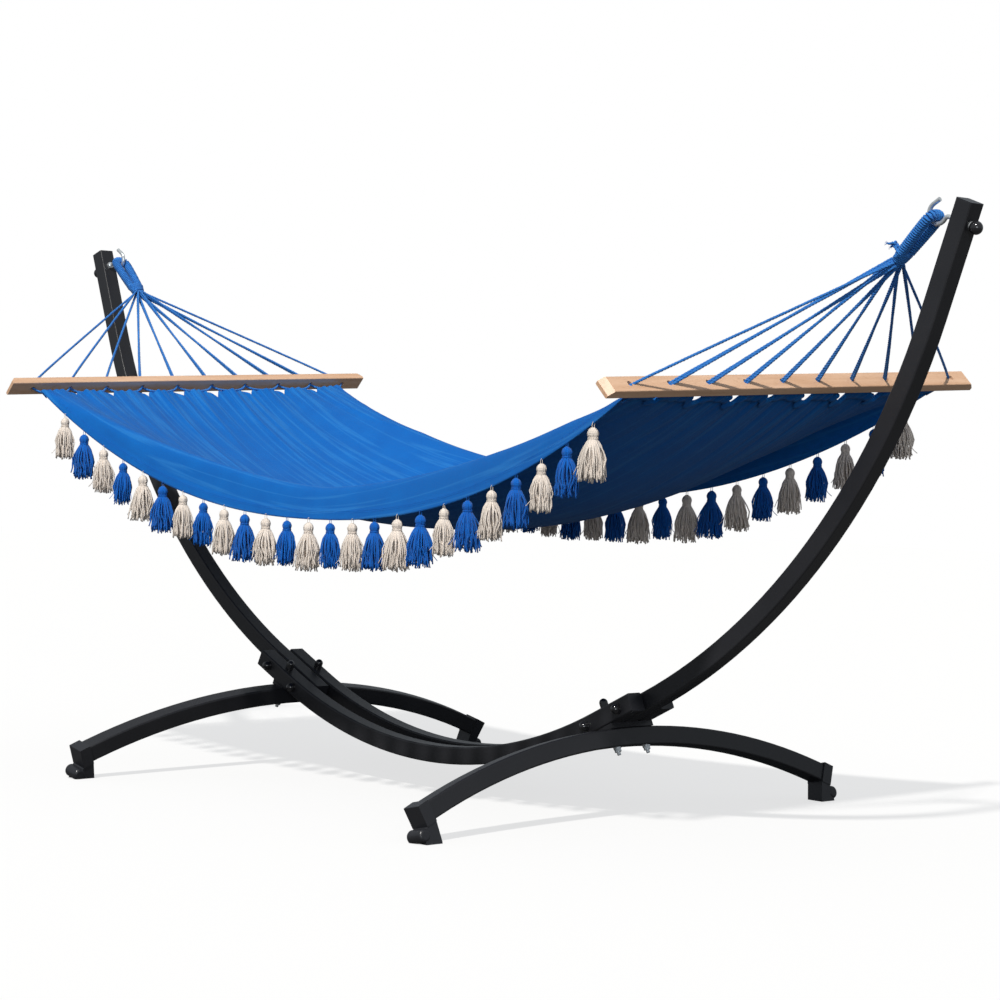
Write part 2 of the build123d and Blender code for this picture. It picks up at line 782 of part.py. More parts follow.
# Tassels
def tassel(top):
    """One tassel hanging from this point: tie, head, neck and skirt."""
    with BuildPart() as shape:
        with BuildSketch(Plane(origin=top, x_dir=(1, 0, 0), z_dir=(0, -1, 0))):
            with BuildLine():
                Polyline(
                    (0, 0),
                    (tassel_tip, 0),
                    (tassel_tip, -tassel_loop),
                    (tassel_head * 0.75, -tassel_loop - 3),
                    (tassel_head, -tassel_loop - tassel_head),
                    (tassel_neck, -tassel_loop - 1.9 * tassel_head),
                    (0.8 * tassel_skirt, -0.62 * tassel_length),
                    (tassel_skirt, -tassel_length),
                    (0, -tassel_length),
                    close=True,
                )
            make_face()
        revolve(axis=Axis(top, (0, 0, 1)))
    return shape.part


def hem_point(x, side):
    """Lowest edge of the side hem at this length, on the straight line between two stations."""
    span = 2 * bed_half / bed_stations
    first = -bed_half + span * floor((x + bed_half) / span)
    share = (x - first) / span
    ends = []
    for station_x in (first, first + span):
        points, middle = bed_side(station_x, side)
        y, z = points[-1]
        ends.append(hang(station_x, y, z - cloth_thick / 2, middle))
    return ends[0] + (ends[1] - ends[0]) * share


tassel_span = 2 * (bed_half - tassel_inset)
tassel_pitch = tassel_span / (tassel_count - 1)
for side, side_name in ((-1, "near"), (1, "far")):
    for first, colour in ((0, "cream"), (1, "blue")):
        with BuildPart() as tassels:
            for number in range(first, tassel_count, 2):
                x = number * tassel_pitch - tassel_span / 2 + (far_row_shift if side > 0 else 0)
                here = hem_point(x, side)
                slope = hem_point(x + tassel_tip, side).Z - here.Z
                add(tassel(here - Vector(0, 0, tassel_gap + abs(slope))))
        save(tassels, f"tassels_{side_name}_{colour}")

print("cord bends of", mouth_round, "mm at each hole and channel")
print("hang point", hang_point, "bar", bar_middle, "bed end", bed_end)
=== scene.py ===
import json
import random
from math import cos, exp, pi, radians, sin, sqrt

import bpy
from mathutils import Matrix, Vector, noise


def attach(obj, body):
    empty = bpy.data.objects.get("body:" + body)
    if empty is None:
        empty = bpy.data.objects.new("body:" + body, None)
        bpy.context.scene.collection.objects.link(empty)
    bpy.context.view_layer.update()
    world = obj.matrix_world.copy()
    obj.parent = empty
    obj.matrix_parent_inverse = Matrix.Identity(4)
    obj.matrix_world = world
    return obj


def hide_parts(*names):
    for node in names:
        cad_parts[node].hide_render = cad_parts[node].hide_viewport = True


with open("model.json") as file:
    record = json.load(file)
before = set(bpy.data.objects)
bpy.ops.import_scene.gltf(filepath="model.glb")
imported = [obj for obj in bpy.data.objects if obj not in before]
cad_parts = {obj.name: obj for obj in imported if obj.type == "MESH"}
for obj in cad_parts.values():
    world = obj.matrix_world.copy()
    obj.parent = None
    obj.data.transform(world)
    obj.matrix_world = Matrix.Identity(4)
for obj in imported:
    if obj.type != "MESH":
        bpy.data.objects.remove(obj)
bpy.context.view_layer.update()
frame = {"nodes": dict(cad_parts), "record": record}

# Hammock on a bowed stand. X runs along the hammock, Y across it, Z up; metres.
scene = bpy.context.scene

camera = {
    "place": (4.6092, -4.1286, 0.7930),
    "turn": 0.8241,
    "down": 0.0209,
    "roll": 0.0245,
    "lens": 97.55,
    "sensor": 36,
    "clipEnd": 60,
}


def addCamera(c):
    a, p, w = c["turn"], c["down"], c["roll"]
    back = Vector((sin(a) * cos(p), -cos(a) * cos(p), sin(p)))
    right = Vector((cos(a), sin(a), 0))
    up = back.cross(right)
    level = cos(w) * right + sin(w) * up
    data = bpy.data.cameras.new("camera")
    data.sensor_width = c["sensor"]
    data.lens = c["lens"]
    data.clip_end = c["clipEnd"]
    eye = bpy.data.objects.new("camera", data)
    turned = Matrix((level, back.cross(level), back)).transposed().to_4x4()
    turned.translation = Vector(c["place"])
    eye.matrix_world = turned
    scene.collection.objects.link(eye)
    scene.camera = eye


addCamera(camera)
print("camera placed")

# small helpers for meshes


def meshFrom(name, verts, faces, uvs):
    mesh = bpy.data.meshes.new(name)
    mesh.from_pydata(verts, [], faces)
    layer = mesh.uv_layers.new(name="run")
    flat = []
    for face in faces:
        for corner in face:
            flat.extend(uvs[corner])
    layer.data.foreach_set("uv", flat)
    mesh.polygons.foreach_set("use_smooth", [True] * len(faces))
    mesh.update()
    return mesh


def pieceFrom(name, verts, faces, uvs, material):
    mesh = meshFrom(name, verts, faces, uvs)
    mesh.materials.append(material)
    piece = bpy.data.objects.new(name, mesh)
    scene.collection.objects.link(piece)
    return piece


# vertices, faces and map points gathered for one piece
class MeshBin:
    def __init__(self):
        self.verts, self.faces, self.uvs = [], [], []

    # closed skin over rings of points, mapped round each ring and along the runs
    def loft(self, rings, runs, flip=False):
        first, sides = len(self.verts), len(rings[0])
        for ring, run in zip(rings, runs):
            for k, point in enumerate(ring):
                self.verts.append(point)
                self.uvs.append((k / sides, run))
        skin = []
        for i in range(len(rings) - 1):
            for k in range(sides):
                a = first + i * sides + k
                b = first + i * sides + (k + 1) % sides
                skin.append((a, b, b + sides, a + sides))
        last = first + (len(rings) - 1) * sides
        skin.append(tuple(first + k for k in reversed(range(sides))))
        skin.append(tuple(last + k for k in range(sides)))
        self.faces += [face[::-1] for face in skin] if flip else skin

    # the radius is a number, or a function of the share of the line passed
    def tube(self, line, radius, sides):
        rings, runs = [], [0.0]
        turns = [2 * pi * k / sides for k in range(sides)]
        for i, (point, (side, up)) in enumerate(zip(line, framesAlong(line))):
            if i:
                runs.append(runs[-1] + (point - line[i - 1]).length)
            r = radius(i / (len(line) - 1)) if callable(radius) else radius
            rings.append([point + (side * cos(turn) + up * sin(turn)) * r for turn in turns])
        self.loft(rings, runs)

    def piece(self, name, body, material):
        made = pieceFrom(name, self.verts, self.faces, self.uvs, material)
        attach(made, body)
        return made


# a side and an up direction at each point, turning as little as the line lets them
def framesAlong(line):
    tangents = []
    for i in range(len(line)):
        ahead = line[min(i + 1, len(line) - 1)]
        behind = line[max(i - 1, 0)]
        tangents.append((ahead - behind).normalized())
    side = tangents[0].orthogonal()
    side = (side - tangents[0] * side.dot(tangents[0])).normalized()
    frames = [(side, tangents[0].cross(side))]
    for i in range(1, len(line)):
        turn = tangents[i - 1].rotation_difference(tangents[i])
        side = turn @ side
        side = (side - tangents[i] * side.dot(tangents[i])).normalized()
        frames.append((side, tangents[i].cross(side)))
    return frames


# points at an even spacing along a line of points
def resample(line, step):
    runs = [0.0]
    for a, b in zip(line, line[1:]):
        runs.append(runs[-1] + (b - a).length)
    count = max(2, int(round(runs[-1] / step)))
    out, at = [], 0
    for i in range(count + 1):
        want = runs[-1] * i / count
        while at < len(line) - 2 and runs[at + 1] < want:
            at += 1
        span = runs[at + 1] - runs[at]
        share = (want - runs[at]) / span if span > 0 else 0
        out.append(line[at].lerp(line[at + 1], min(1, max(0, share))))
    return out


# points read from a smooth spline that these points control
def splineLine(points, resolution):
    curve = bpy.data.curves.new("route", "CURVE")
    curve.dimensions = "3D"
    spline = curve.splines.new("NURBS")
    spline.points.add(len(points) - 1)
    for knot, point in zip(spline.points, points):
        knot.co = (*point, 1)
    spline.order_u = 3
    spline.use_endpoint_u = True
    spline.resolution_u = resolution
    holder = bpy.data.objects.new("route", curve)
    mesh = bpy.data.meshes.new_from_object(holder)
    line = [v.co.copy() for v in mesh.vertices]
    bpy.data.meshes.remove(mesh)
    bpy.data.objects.remove(holder)
    bpy.data.curves.remove(curve)
    return line


def mirrorX(points, side):
    return [Vector((p.x * side, p.y, p.z)) for p in points]


# shader node groups shared by the materials


def newGroup(name, inputs, outputs):
    group = bpy.data.node_groups.new(name, "ShaderNodeTree")
    for label, kind, value in inputs:
        socket = group.interface.new_socket(label, in_out="INPUT", socket_type=kind)
        if value is not None:
            socket.default_value = value
    for label, kind in outputs:
        group.interface.new_socket(label, in_out="OUTPUT", socket_type=kind)
    return group, group.nodes.new("NodeGroupInput"), group.nodes.new("NodeGroupOutput")


def mathNode(nodes, links, operation, a, b=None, c=None, clamp=False):
    node = nodes.new("ShaderNodeMath")
    node.operation = operation
    node.use_clamp = clamp
    for slot, value in zip(node.inputs, (a, b, c)):
        if value is None:
            continue
        if isinstance(value, (int, float)):
            slot.default_value = value
        else:
            links.new(value, slot)
    return node.outputs[0]


def mixColour(nodes, links, factor, a, b):
    node = nodes.new("ShaderNodeMix")
    node.data_type = "RGBA"
    for slot, value in ((node.inputs[0], factor), (node.inputs[6], a), (node.inputs[7], b)):
        if isinstance(value, (int, float)):
            slot.default_value = value
        elif isinstance(value, tuple):
            slot.default_value = value if len(value) == 4 else (*value, 1)
        else:
            links.new(value, slot)
    return node.outputs[2]


# slow and fine colour change over a surface, with a mask for roughness
def mottleGroup():
    group, gin, gout = newGroup(
        "mottle",
        [
            ("Vector", "NodeSocketVector", None),
            ("Colour", "NodeSocketColor", (0.5, 0.5, 0.5, 1)),
            ("Dark", "NodeSocketColor", (0.3, 0.3, 0.3, 1)),
            ("Scale", "NodeSocketFloat", 12.0),
            ("Fine Scale", "NodeSocketFloat", 300.0),
            ("Amount", "NodeSocketFloat", 0.3),
        ],
        [("Colour", "NodeSocketColor"), ("Mask", "NodeSocketFloat"), ("Fine", "NodeSocketFloat")],
    )
    n, l = group.nodes, group.links
    slow = n.new("ShaderNodeTexNoise")
    slow.inputs["Detail"].default_value = 4
    fine = n.new("ShaderNodeTexNoise")
    fine.inputs["Detail"].default_value = 2
    l.new(gin.outputs["Vector"], slow.inputs["Vector"])
    l.new(gin.outputs["Vector"], fine.inputs["Vector"])
    l.new(gin.outputs["Scale"], slow.inputs["Scale"])
    l.new(gin.outputs["Fine Scale"], fine.inputs["Scale"])
    both = mathNode(n, l, "MULTIPLY_ADD", fine.outputs[0], 0.5, slow.outputs[0])
    both = mathNode(n, l, "SUBTRACT", both, 0.45, clamp=True)
    share = mathNode(n, l, "MULTIPLY", both, gin.outputs["Amount"], clamp=True)
    l.new(mixColour(n, l, share, gin.outputs["Colour"], gin.outputs["Dark"]), gout.inputs["Colour"])
    l.new(both, gout.inputs["Mask"])
    l.new(fine.outputs[0], gout.inputs["Fine"])
    return group


# plain weave: over and under threads on a map measured in metres
def weaveGroup():
    group, gin, gout = newGroup(
        "plainWeave",
        [
            ("Map", "NodeSocketVector", None),
            ("Threads", "NodeSocketFloat", 700.0),
        ],
        [("Height", "NodeSocketFloat"), ("Gap", "NodeSocketFloat")],
    )
    n, l = group.nodes, group.links
    split = n.new("ShaderNodeSeparateXYZ")
    l.new(gin.outputs["Map"], split.inputs[0])
    across = mathNode(n, l, "MULTIPLY", split.outputs[0], gin.outputs["Threads"])
    along = mathNode(n, l, "MULTIPLY", split.outputs[1], gin.outputs["Threads"])
    a = mathNode(n, l, "SINE", mathNode(n, l, "MULTIPLY", across, pi))
    b = mathNode(n, l, "SINE", mathNode(n, l, "MULTIPLY", along, pi))
    crossed = mathNode(n, l, "MULTIPLY", a, b)
    crest = mathNode(n, l, "ABSOLUTE", crossed)
    height = mathNode(n, l, "POWER", crest, 0.6)
    l.new(height, gout.inputs["Height"])
    l.new(mathNode(n, l, "LESS_THAN", crest, 0.12), gout.inputs["Gap"])
    return group


# plies laid round a cord, on its map: round it and along it in metres
def twistGroup():
    group, gin, gout = newGroup(
        "twist",
        [
            ("Map", "NodeSocketVector", None),
            ("Pitch", "NodeSocketFloat", 0.006),
            ("Plies", "NodeSocketFloat", 3.0),
        ],
        [("Height", "NodeSocketFloat")],
    )
    n, l = group.nodes, group.links
    split = n.new("ShaderNodeSeparateXYZ")
    l.new(gin.outputs["Map"], split.inputs[0])
    around = mathNode(n, l, "MULTIPLY", split.outputs[0], gin.outputs["Plies"])
    along = mathNode(n, l, "DIVIDE", split.outputs[1], gin.outputs["Pitch"])
    turn = mathNode(n, l, "ADD", around, along)
    l.new(mathNode(n, l, "SINE", mathNode(n, l, "MULTIPLY", turn, 2 * pi)), gout.inputs["Height"])
    return group


mottle = mottleGroup()
plainWeave = weaveGroup()
twist = twistGroup()


def startMaterial(name, values):
    material = bpy.data.materials.new(name)
    material.use_nodes = True
    nodes, links = material.node_tree.nodes, material.node_tree.links
    shader = nodes["Principled BSDF"]
    for label, value in values.items():
        shader.inputs[label].default_value = value
    return material, nodes, links, shader


def place(nodes, links, group, values):
    node = nodes.new("ShaderNodeGroup")
    node.node_tree = group
    for label, value in values.items():
        if isinstance(value, tuple) and len(value) == 3:
            value = (*value, 1)
        if isinstance(value, (int, float, tuple)):
            node.inputs[label].default_value = value
        else:
            links.new(value, node.inputs[label])
    return node


def mottled(nodes, links, where, f, slowScale, fineScale, amount):
    values = {"Vector": where, "Colour": f["colour"], "Dark": f["dark"], "Amount": amount}
    values.update({"Scale": slowScale, "Fine Scale": fineScale})
    return place(nodes, links, mottle, values)


def addBump(nodes, links, shader, height, distance, strength):
    bump = nodes.new("ShaderNodeBump")
    bump.inputs["Strength"].default_value = strength
    bump.inputs["Distance"].default_value = distance
    links.new(height, bump.inputs["Height"])
    links.new(bump.outputs[0], shader.inputs["Normal"])


def remap(nodes, links, value, toLow, toHigh, fromLow=0, fromHigh=1):
    ramp = nodes.new("ShaderNodeMapRange")
    ramp.inputs["From Min"].default_value = fromLow
    ramp.inputs["From Max"].default_value = fromHigh
    ramp.inputs["To Min"].default_value = toLow
    ramp.inputs["To Max"].default_value = toHigh
    links.new(value, ramp.inputs["Value"])
    return ramp.outputs[0]


def noiseOn(nodes, links, vector, scale, detail=2):
    grain = nodes.new("ShaderNodeTexNoise")
    grain.inputs["Scale"].default_value = scale
    grain.inputs["Detail"].default_value = detail
    links.new(vector, grain.inputs["Vector"])
    return grain


def stretched(nodes, links, vector, scale):
    lay = nodes.new("ShaderNodeMapping")
    lay.inputs["Scale"].default_value = scale
    links.new(vector, lay.inputs["Vector"])
    return lay.outputs[0]


def runMap(nodes):
    run = nodes.new("ShaderNodeUVMap")
    run.uv_map = "run"
    return run.outputs[0]


finishes = {
    "frame": {"colour": (0.014, 0.0145, 0.0175), "dark": (0.027, 0.027, 0.031), "rough": (0.32, 0.46)},
    "plastic": {"colour": (0.016, 0.017, 0.021), "dark": (0.03, 0.03, 0.034), "rough": (0.26, 0.46)},
    "cap": {"colour": (0.012, 0.012, 0.014), "dark": (0.02, 0.02, 0.022), "rough": (0.12, 0.24)},
    "zinc": {"colour": (0.82, 0.86, 0.88), "dark": (0.6, 0.63, 0.65), "rough": (0.2, 0.4)},
    "wood": {"light": (0.74, 0.49, 0.33), "dark": (0.58, 0.34, 0.2), "pore": (0.36, 0.19, 0.1)},
    "cord": {"colour": (0.04, 0.22, 0.62), "dark": (0.012, 0.085, 0.32)},
    "cloth": {
        "colour": (0.0018, 0.13, 0.47),
        "dark": (0.0008, 0.08, 0.36),
        # lighter colour of the fold lines, a painted highlight
        "foldHighlight": (0.03, 0.22, 0.56),
        "foldHighlightAmount": 0.42,  # how far a fold line takes on the lighter colour, a painted highlight on the folds
    },
    "cream": {"colour": (0.83, 0.75, 0.68), "dark": (0.6, 0.52, 0.45)},
    "blue": {"colour": (0.004, 0.14, 0.56), "dark": (0.002, 0.055, 0.3)},
}


def coated(name, f, fineScale, bumpDepth, metallic=0.0, slowScale=9.0, coat=0.0):
    material, n, l, shader = startMaterial(name, {"Metallic": metallic})
    shader.inputs["Coat Weight"].default_value = coat
    where = n.new("ShaderNodeTexCoord").outputs["Object"]
    tone = mottled(n, l, where, f, slowScale, fineScale, 0.8)
    l.new(tone.outputs["Colour"], shader.inputs["Base Color"])
    l.new(remap(n, l, tone.outputs["Mask"], *f["rough"]), shader.inputs["Roughness"])
    addBump(n, l, shader, tone.outputs["Fine"], bumpDepth, 0.5)
    return material


# pale hardwood with its grain along the bar
def woodFinish(f):
    material, n, l, shader = startMaterial("varnishedWood", {"Roughness": 0.42})
    shader.inputs["Coat Weight"].default_value = 0.15
    shader.inputs["Coat Roughness"].default_value = 0.3
    where = n.new("ShaderNodeTexCoord").outputs["Object"]
    rings = noiseOn(n, l, stretched(n, l, where, (55, 2.2, 55)), 1.0, 5)
    rings.inputs["Distortion"].default_value = 0.6
    flecks = noiseOn(n, l, stretched(n, l, where, (900, 60, 900)), 1.0)
    share = remap(n, l, rings.outputs[0], 0, 1, 0.3, 0.72)
    base = mixColour(n, l, share, f["light"], f["dark"])
    pore = mathNode(n, l, "GREATER_THAN", flecks.outputs[0], 0.63)
    pore = mathNode(n, l, "MULTIPLY", pore, 0.35)
    l.new(mixColour(n, l, pore, base, f["pore"]), shader.inputs["Base Color"])
    l.new(remap(n, l, flecks.outputs[0], 0.34, 0.56), shader.inputs["Roughness"])
    addBump(n, l, shader, flecks.outputs[0], 0.0002, 0.6)
    return material


def clothFinish(name, f, threads):
    material, n, l, shader = startMaterial(name, {"Roughness": 0.86, "Specular IOR Level": 0.12})
    shader.inputs["Sheen Weight"].default_value = 0.06
    shader.inputs["Sheen Roughness"].default_value = 0.5
    run = runMap(n)
    weave = place(n, l, plainWeave, {"Map": run, "Threads": threads})
    tone = mottled(n, l, run, f, 14.0, 260.0, 0.85)
    # lighter lines along the folds: a painted highlight where fold crests would catch light
    streak = noiseOn(n, l, stretched(n, l, run, (30, 0.9, 1)), 1.0, 3)
    ridge = mathNode(n, l, "ABSOLUTE", mathNode(n, l, "SUBTRACT", streak.outputs[0], 0.5))
    foldHighlightMask = remap(n, l, ridge, f["foldHighlightAmount"], 0, 0, 0.04)
    foldHighlight = mixColour(n, l, foldHighlightMask, tone.outputs["Colour"], f["foldHighlight"])
    # gaps between the threads take a deeper blue: painted shade in the gaps
    gap = mathNode(n, l, "MULTIPLY", weave.outputs["Gap"], 0.35)
    deep = tuple(0.5 * c for c in f["dark"])
    l.new(mixColour(n, l, gap, foldHighlight, deep), shader.inputs["Base Color"])
    height = mathNode(n, l, "MULTIPLY_ADD", tone.outputs["Fine"], 0.8, weave.outputs["Height"])
    addBump(n, l, shader, height, 0.00035, 0.55)
    return material


def yarnFinish(name, f, pitch, plies, depth):
    material, n, l, shader = startMaterial(name, {"Roughness": 0.85, "Specular IOR Level": 0.15})
    shader.inputs["Sheen Weight"].default_value = 0.1
    run = runMap(n)
    where = n.new("ShaderNodeTexCoord").outputs["Object"]
    laid = place(n, l, twist, {"Map": run, "Pitch": pitch, "Plies": plies})
    tone = mottled(n, l, where, f, 40.0, 900.0, 0.7)
    # the grooves between the plies take the dark colour: painted shade in the grooves
    low = remap(n, l, laid.outputs[0], 0.45, 0, -1, 0.2)
    l.new(mixColour(n, l, low, tone.outputs["Colour"], f["dark"]), shader.inputs["Base Color"])
    addBump(n, l, shader, laid.outputs[0], depth, 0.8)
    return material


materials = {
    "frame": coated("powderCoat", finishes["frame"], 900.0, 0.0003),
    "plastic": coated("mouldedPlastic", finishes["plastic"], 1400.0, 0.0002),
    "cap": coated("glossCap", finishes["cap"], 500.0, 0.00005, coat=0.5),
    "zinc": coated("zincPlate", finishes["zinc"], 350.0, 0.00012, metallic=0.7, slowScale=60.0),
    "wood": woodFinish(finishes["wood"]),
    "cloth": clothFinish("canvas", finishes["cloth"], 620.0),
    "cord": yarnFinish("cordYarn", finishes["cord"], 0.0028, 2.0, 0.0002),
    "wound": yarnFinish("woundCord", finishes["cord"], 0.007, 3.0, 0.00018),
    "cream": yarnFinish("creamCotton", finishes["cream"], 0.0032, 2.0, 0.0002),
    "blue": yarnFinish("blueCotton", finishes["blue"], 0.0032, 2.0, 0.0002),
    "thread": yarnFinish("sewingThread", finishes["blue"], 0.0015, 2.0, 0.0001),
}

# CAD pieces that keep their shape
slotOf = {entry["node"]: entry["material_slot"] for entry in frame["record"]["subparts"]}
soft = {"cord", "cloth", "cream_tassel", "blue_tassel"}
for node, slotName in slotOf.items():
    if slotName in soft:
        continue
    kept = frame["nodes"][node]
    kept.data.materials.clear()
    kept.data.materials.append(materials[slotName])
print("kept pieces coated")

# hammock: line of pull, bar and gather, all at its right end; the left end mirrors them
pull = {
    "angle": radians(43.7),
    "tilt": radians(2.6),
    "hang": Vector((1.34502, 0, 1.23906)),
    "toBar": 0.452,
    "loop": 0.083,
    "binding": 0.026,
}
pullDir = Vector((cos(pull["angle"]), 0, sin(pull["angle"])))
pullSide = Vector((-sin(pull["angle"]), 0, cos(pull["angle"])))
yAxis = Vector((0, 1, 0))
barMiddle = pull["hang"] - pullDir * pull["toBar"]
gather = pull["hang"] - pullDir * pull["loop"]
barAlong = Vector((0, cos(pull["tilt"]), sin(pull["tilt"])))
barNormal = Vector((pullDir.x, -pullDir.z * sin(pull["tilt"]), pullDir.z * cos(pull["tilt"])))
barAcross = barNormal.cross(barAlong)


def atBar(along, across, out):
    return barMiddle + barAlong * along + barAcross * across + barNormal * out


# cords
cords = {
    "holes": 10,
    "pitch": 0.108,
    "size": 0.005,
    "gap": 0.0004,
    "barHalf": 0.010,
    "reach": 0.022,
    "drop": 0.028,
    "lay": 0.021,  # one turn of the plies
    "phase": 1.3,  # how far the plies turn from one cord to the next
    "step": 0.0034,
    "smooth": 14,
}
holePlaces = [(hole - (cords["holes"] - 1) / 2) * cords["pitch"] for hole in range(cords["holes"])]
strandStep = cords["size"] + cords["gap"]
fanStart = gather - pullDir * pull["binding"]


def fanPoint(hole, half):
    layer = strandStep if hole % 2 == 0 else -strandStep
    column = (hole // 2 - ((cords["holes"] + 1) // 2 - 1) / 2) * strandStep
    return fanStart + yAxis * column - pullSide * (layer + half * strandStep / 2)


def cordRoute(hole):
    near, far = holePlaces[hole], holePlaces[hole + 1]

    def side(along, half):
        return 0 if along in (holePlaces[0], holePlaces[-1]) else half * strandStep / 2

    return [
        fanPoint(hole, -1),
        atBar(near, side(near, -1), cords["barHalf"]),
        atBar(near, side(near, -1), -cords["barHalf"]),
        atBar(near + cords["reach"], 0, -cords["drop"]),
        atBar(far - cords["reach"], 0, -cords["drop"]),
        atBar(far, side(far, 1), -cords["barHalf"]),
        atBar(far, side(far, 1), cords["barHalf"]),
        fanPoint(hole + 1, 1),
    ]


# shares of a cord's size
ply = {"count": 3, "out": 0.28, "radius": 0.36, "sides": 5}


def layPlies(bin, line, size, lay, phase=0.0):
    frames = framesAlong(line)
    run = 0.0
    paths = [[] for _ in range(ply["count"])]
    for i, (point, (side, up)) in enumerate(zip(line, frames)):
        if i:
            run += (point - line[i - 1]).length
        for k, path in enumerate(paths):
            turn = 2 * pi * (run / lay + k / ply["count"]) + phase
            path.append(point + (side * cos(turn) + up * sin(turn)) * size * ply["out"])
    for path in paths:
        bin.tube(path, size * ply["radius"], ply["sides"])


for side, label in ((1, "right"), (-1, "left")):
    bundle = MeshBin()
    for hole in range(cords["holes"] - 1):
        route = splineLine(cordRoute(hole), cords["smooth"])
        line = mirrorX(resample(route, cords["step"]), side)
        layPlies(bundle, line, cords["size"], cords["lay"], phase=hole * cords["phase"])
    laid = bundle.piece(f"fannedCords_{label}", "hammock", materials["cord"])
    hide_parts(f"cords_{label}")
print("cords laid")

# hanging loops and their bindings
loop = {
    "rod": 0.0045,
    "sideGap": 0.0015,
    "seatGap": 0.0005,
    "rope": 0.0115,
    "legGap": 0.0004,
    "winding": 0.0047,
    "windingPitch": 0.0051,
    "sink": 0.0006,  # how deep the turns lie in the rope under them
    "turnSteps": 14,
    "wobble": 0.0002,
    "fullness": 0.53,  # a turn's radius as a share of its cord's size
}


# centreline of the rope loop, from one leg round the hook's ring to the other
def loopLine(l):
    ring = l["rod"] + l["sideGap"] + l["rope"]
    centre = pull["hang"] - pullDir * (l["sideGap"] - l["seatGap"])
    length = pull["loop"] - (l["sideGap"] - l["seatGap"])
    half = [(l["rope"] + l["legGap"], -length), (1.06 * ring, 0.05 * ring), (0.64 * ring, 0.98 * ring)]
    control = half + [(-x, y) for x, y in reversed(half)]
    return splineLine([centre + yAxis * x + pullDir * y for x, y in control], 24)


# a cord wound in close turns round a line
def windRound(bin, line, core, l, phase):
    even = resample(line, l["windingPitch"] / l["turnSteps"])
    path = []
    for i, (point, (side, up)) in enumerate(zip(even, framesAlong(even))):
        turn = 2 * pi * i / l["turnSteps"] + phase
        r = core + l["wobble"] * noise.noise(Vector((i * 0.07, phase, 0)))
        path.append(point + (side * cos(turn) + up * sin(turn)) * (r + l["winding"] / 2))
    bin.tube(path, l["winding"] * l["fullness"], 7)


def makeLoop(side, label):
    rope = MeshBin()
    centreLine = mirrorX(loopLine(loop), side)
    core = loop["rope"] - loop["winding"] - loop["sink"]
    rope.tube(centreLine, core + loop["sink"], 12)
    windRound(rope, centreLine, core, loop, side)
    ropePiece = rope.piece(f"woundLoop_{label}", "hammock", materials["wound"])
    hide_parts(f"hanging_loop_{label}")


# each pair goes from the loop's end of the binding to the cords' end
binding = {
    "turns": 6,
    "steps": 26,
    "margin": 0.001,
    "spare": 0.003,
    "across": (0.0226, 0.0150),
    "deep": (0.0105, 0.0098),
    "bulge": 0.03,
    "coreAcross": (0.021, 0.0138),
    "coreDeep": (0.0094, 0.0092),
    "coreRings": 7,
    "coreSides": 28,
    "coreMap": 0.004,
}


def blend(pair, share):
    return pair[0] * (1 - share) + pair[1] * share


def oval(centre, across, deep, turn, size=1.0):
    return centre + (yAxis * across * cos(turn) + pullSide * deep * sin(turn)) * size


def makeBinding(w, side, label):
    wrap = MeshBin()
    path = []
    for i in range(w["turns"] * w["steps"] + 1):
        share = i / (w["turns"] * w["steps"])
        centre = gather - pullDir * (w["margin"] + (pull["binding"] - w["spare"]) * share)
        turn = 2 * pi * w["turns"] * share
        bulge = 1 + w["bulge"] * sin(5 * turn + share * 9)
        path.append(oval(centre, blend(w["across"], share), blend(w["deep"], share), turn, bulge))
    wrap.tube(mirrorX(path, side), loop["winding"] * 0.5, 7)
    # bundle of cords inside the turns
    rings = []
    for i in range(w["coreRings"]):
        share = i / (w["coreRings"] - 1)
        centre = gather + pullDir * w["margin"] - pullDir * (pull["binding"] + w["spare"]) * share
        across, deep = blend(w["coreAcross"], share), blend(w["coreDeep"], share)
        turns = [2 * pi * k / w["coreSides"] for k in range(w["coreSides"])]
        rings.append(mirrorX([oval(centre, across, deep, turn) for turn in turns], side))
    wrap.loft(rings, [i * w["coreMap"] for i in range(w["coreRings"])], side > 0)
    wrapPiece = wrap.piece(f"gatherWrap_{label}", "hammock", materials["wound"])
    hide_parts(f"gather_binding_{label}")


for side, label in ((1, "right"), (-1, "left")):
    makeLoop(side, label)
    makeBinding(binding, side, label)


def trefoil(centre, size, xDir, yDir, zDir, count=90):
    line = []
    for i in range(count + 1):
        t = 2 * pi * i / count
        x = (sin(t) + 2 * sin(2 * t)) / 3
        y = (cos(t) - 2 * cos(2 * t)) / 3
        z = -sin(3 * t)
        line.append(centre + (xDir * x + yDir * y) * size + zDir * z * size * 0.38)
    return line


knot = {
    "seed": 5,
    "foot": 0.010,
    "top": 0.030,
    "lean": 0.0028,
    "size": 0.0072,
    "stem": {"cord": 0.0048, "lay": 0.018, "step": 0.0025},
    "turns": {"cord": 0.0046, "lay": 0.016, "step": 0.002},
    "tail": {"cord": 0.0042, "lay": 0.014, "step": 0.002},
    "hairs": 9,
    "hair": 0.0006,
    "hairSpread": 0.55,
}


def layEven(bin, line, c, phase=0.0):
    layPlies(bin, resample(line, c["step"]), c["cord"], c["lay"], phase=phase)


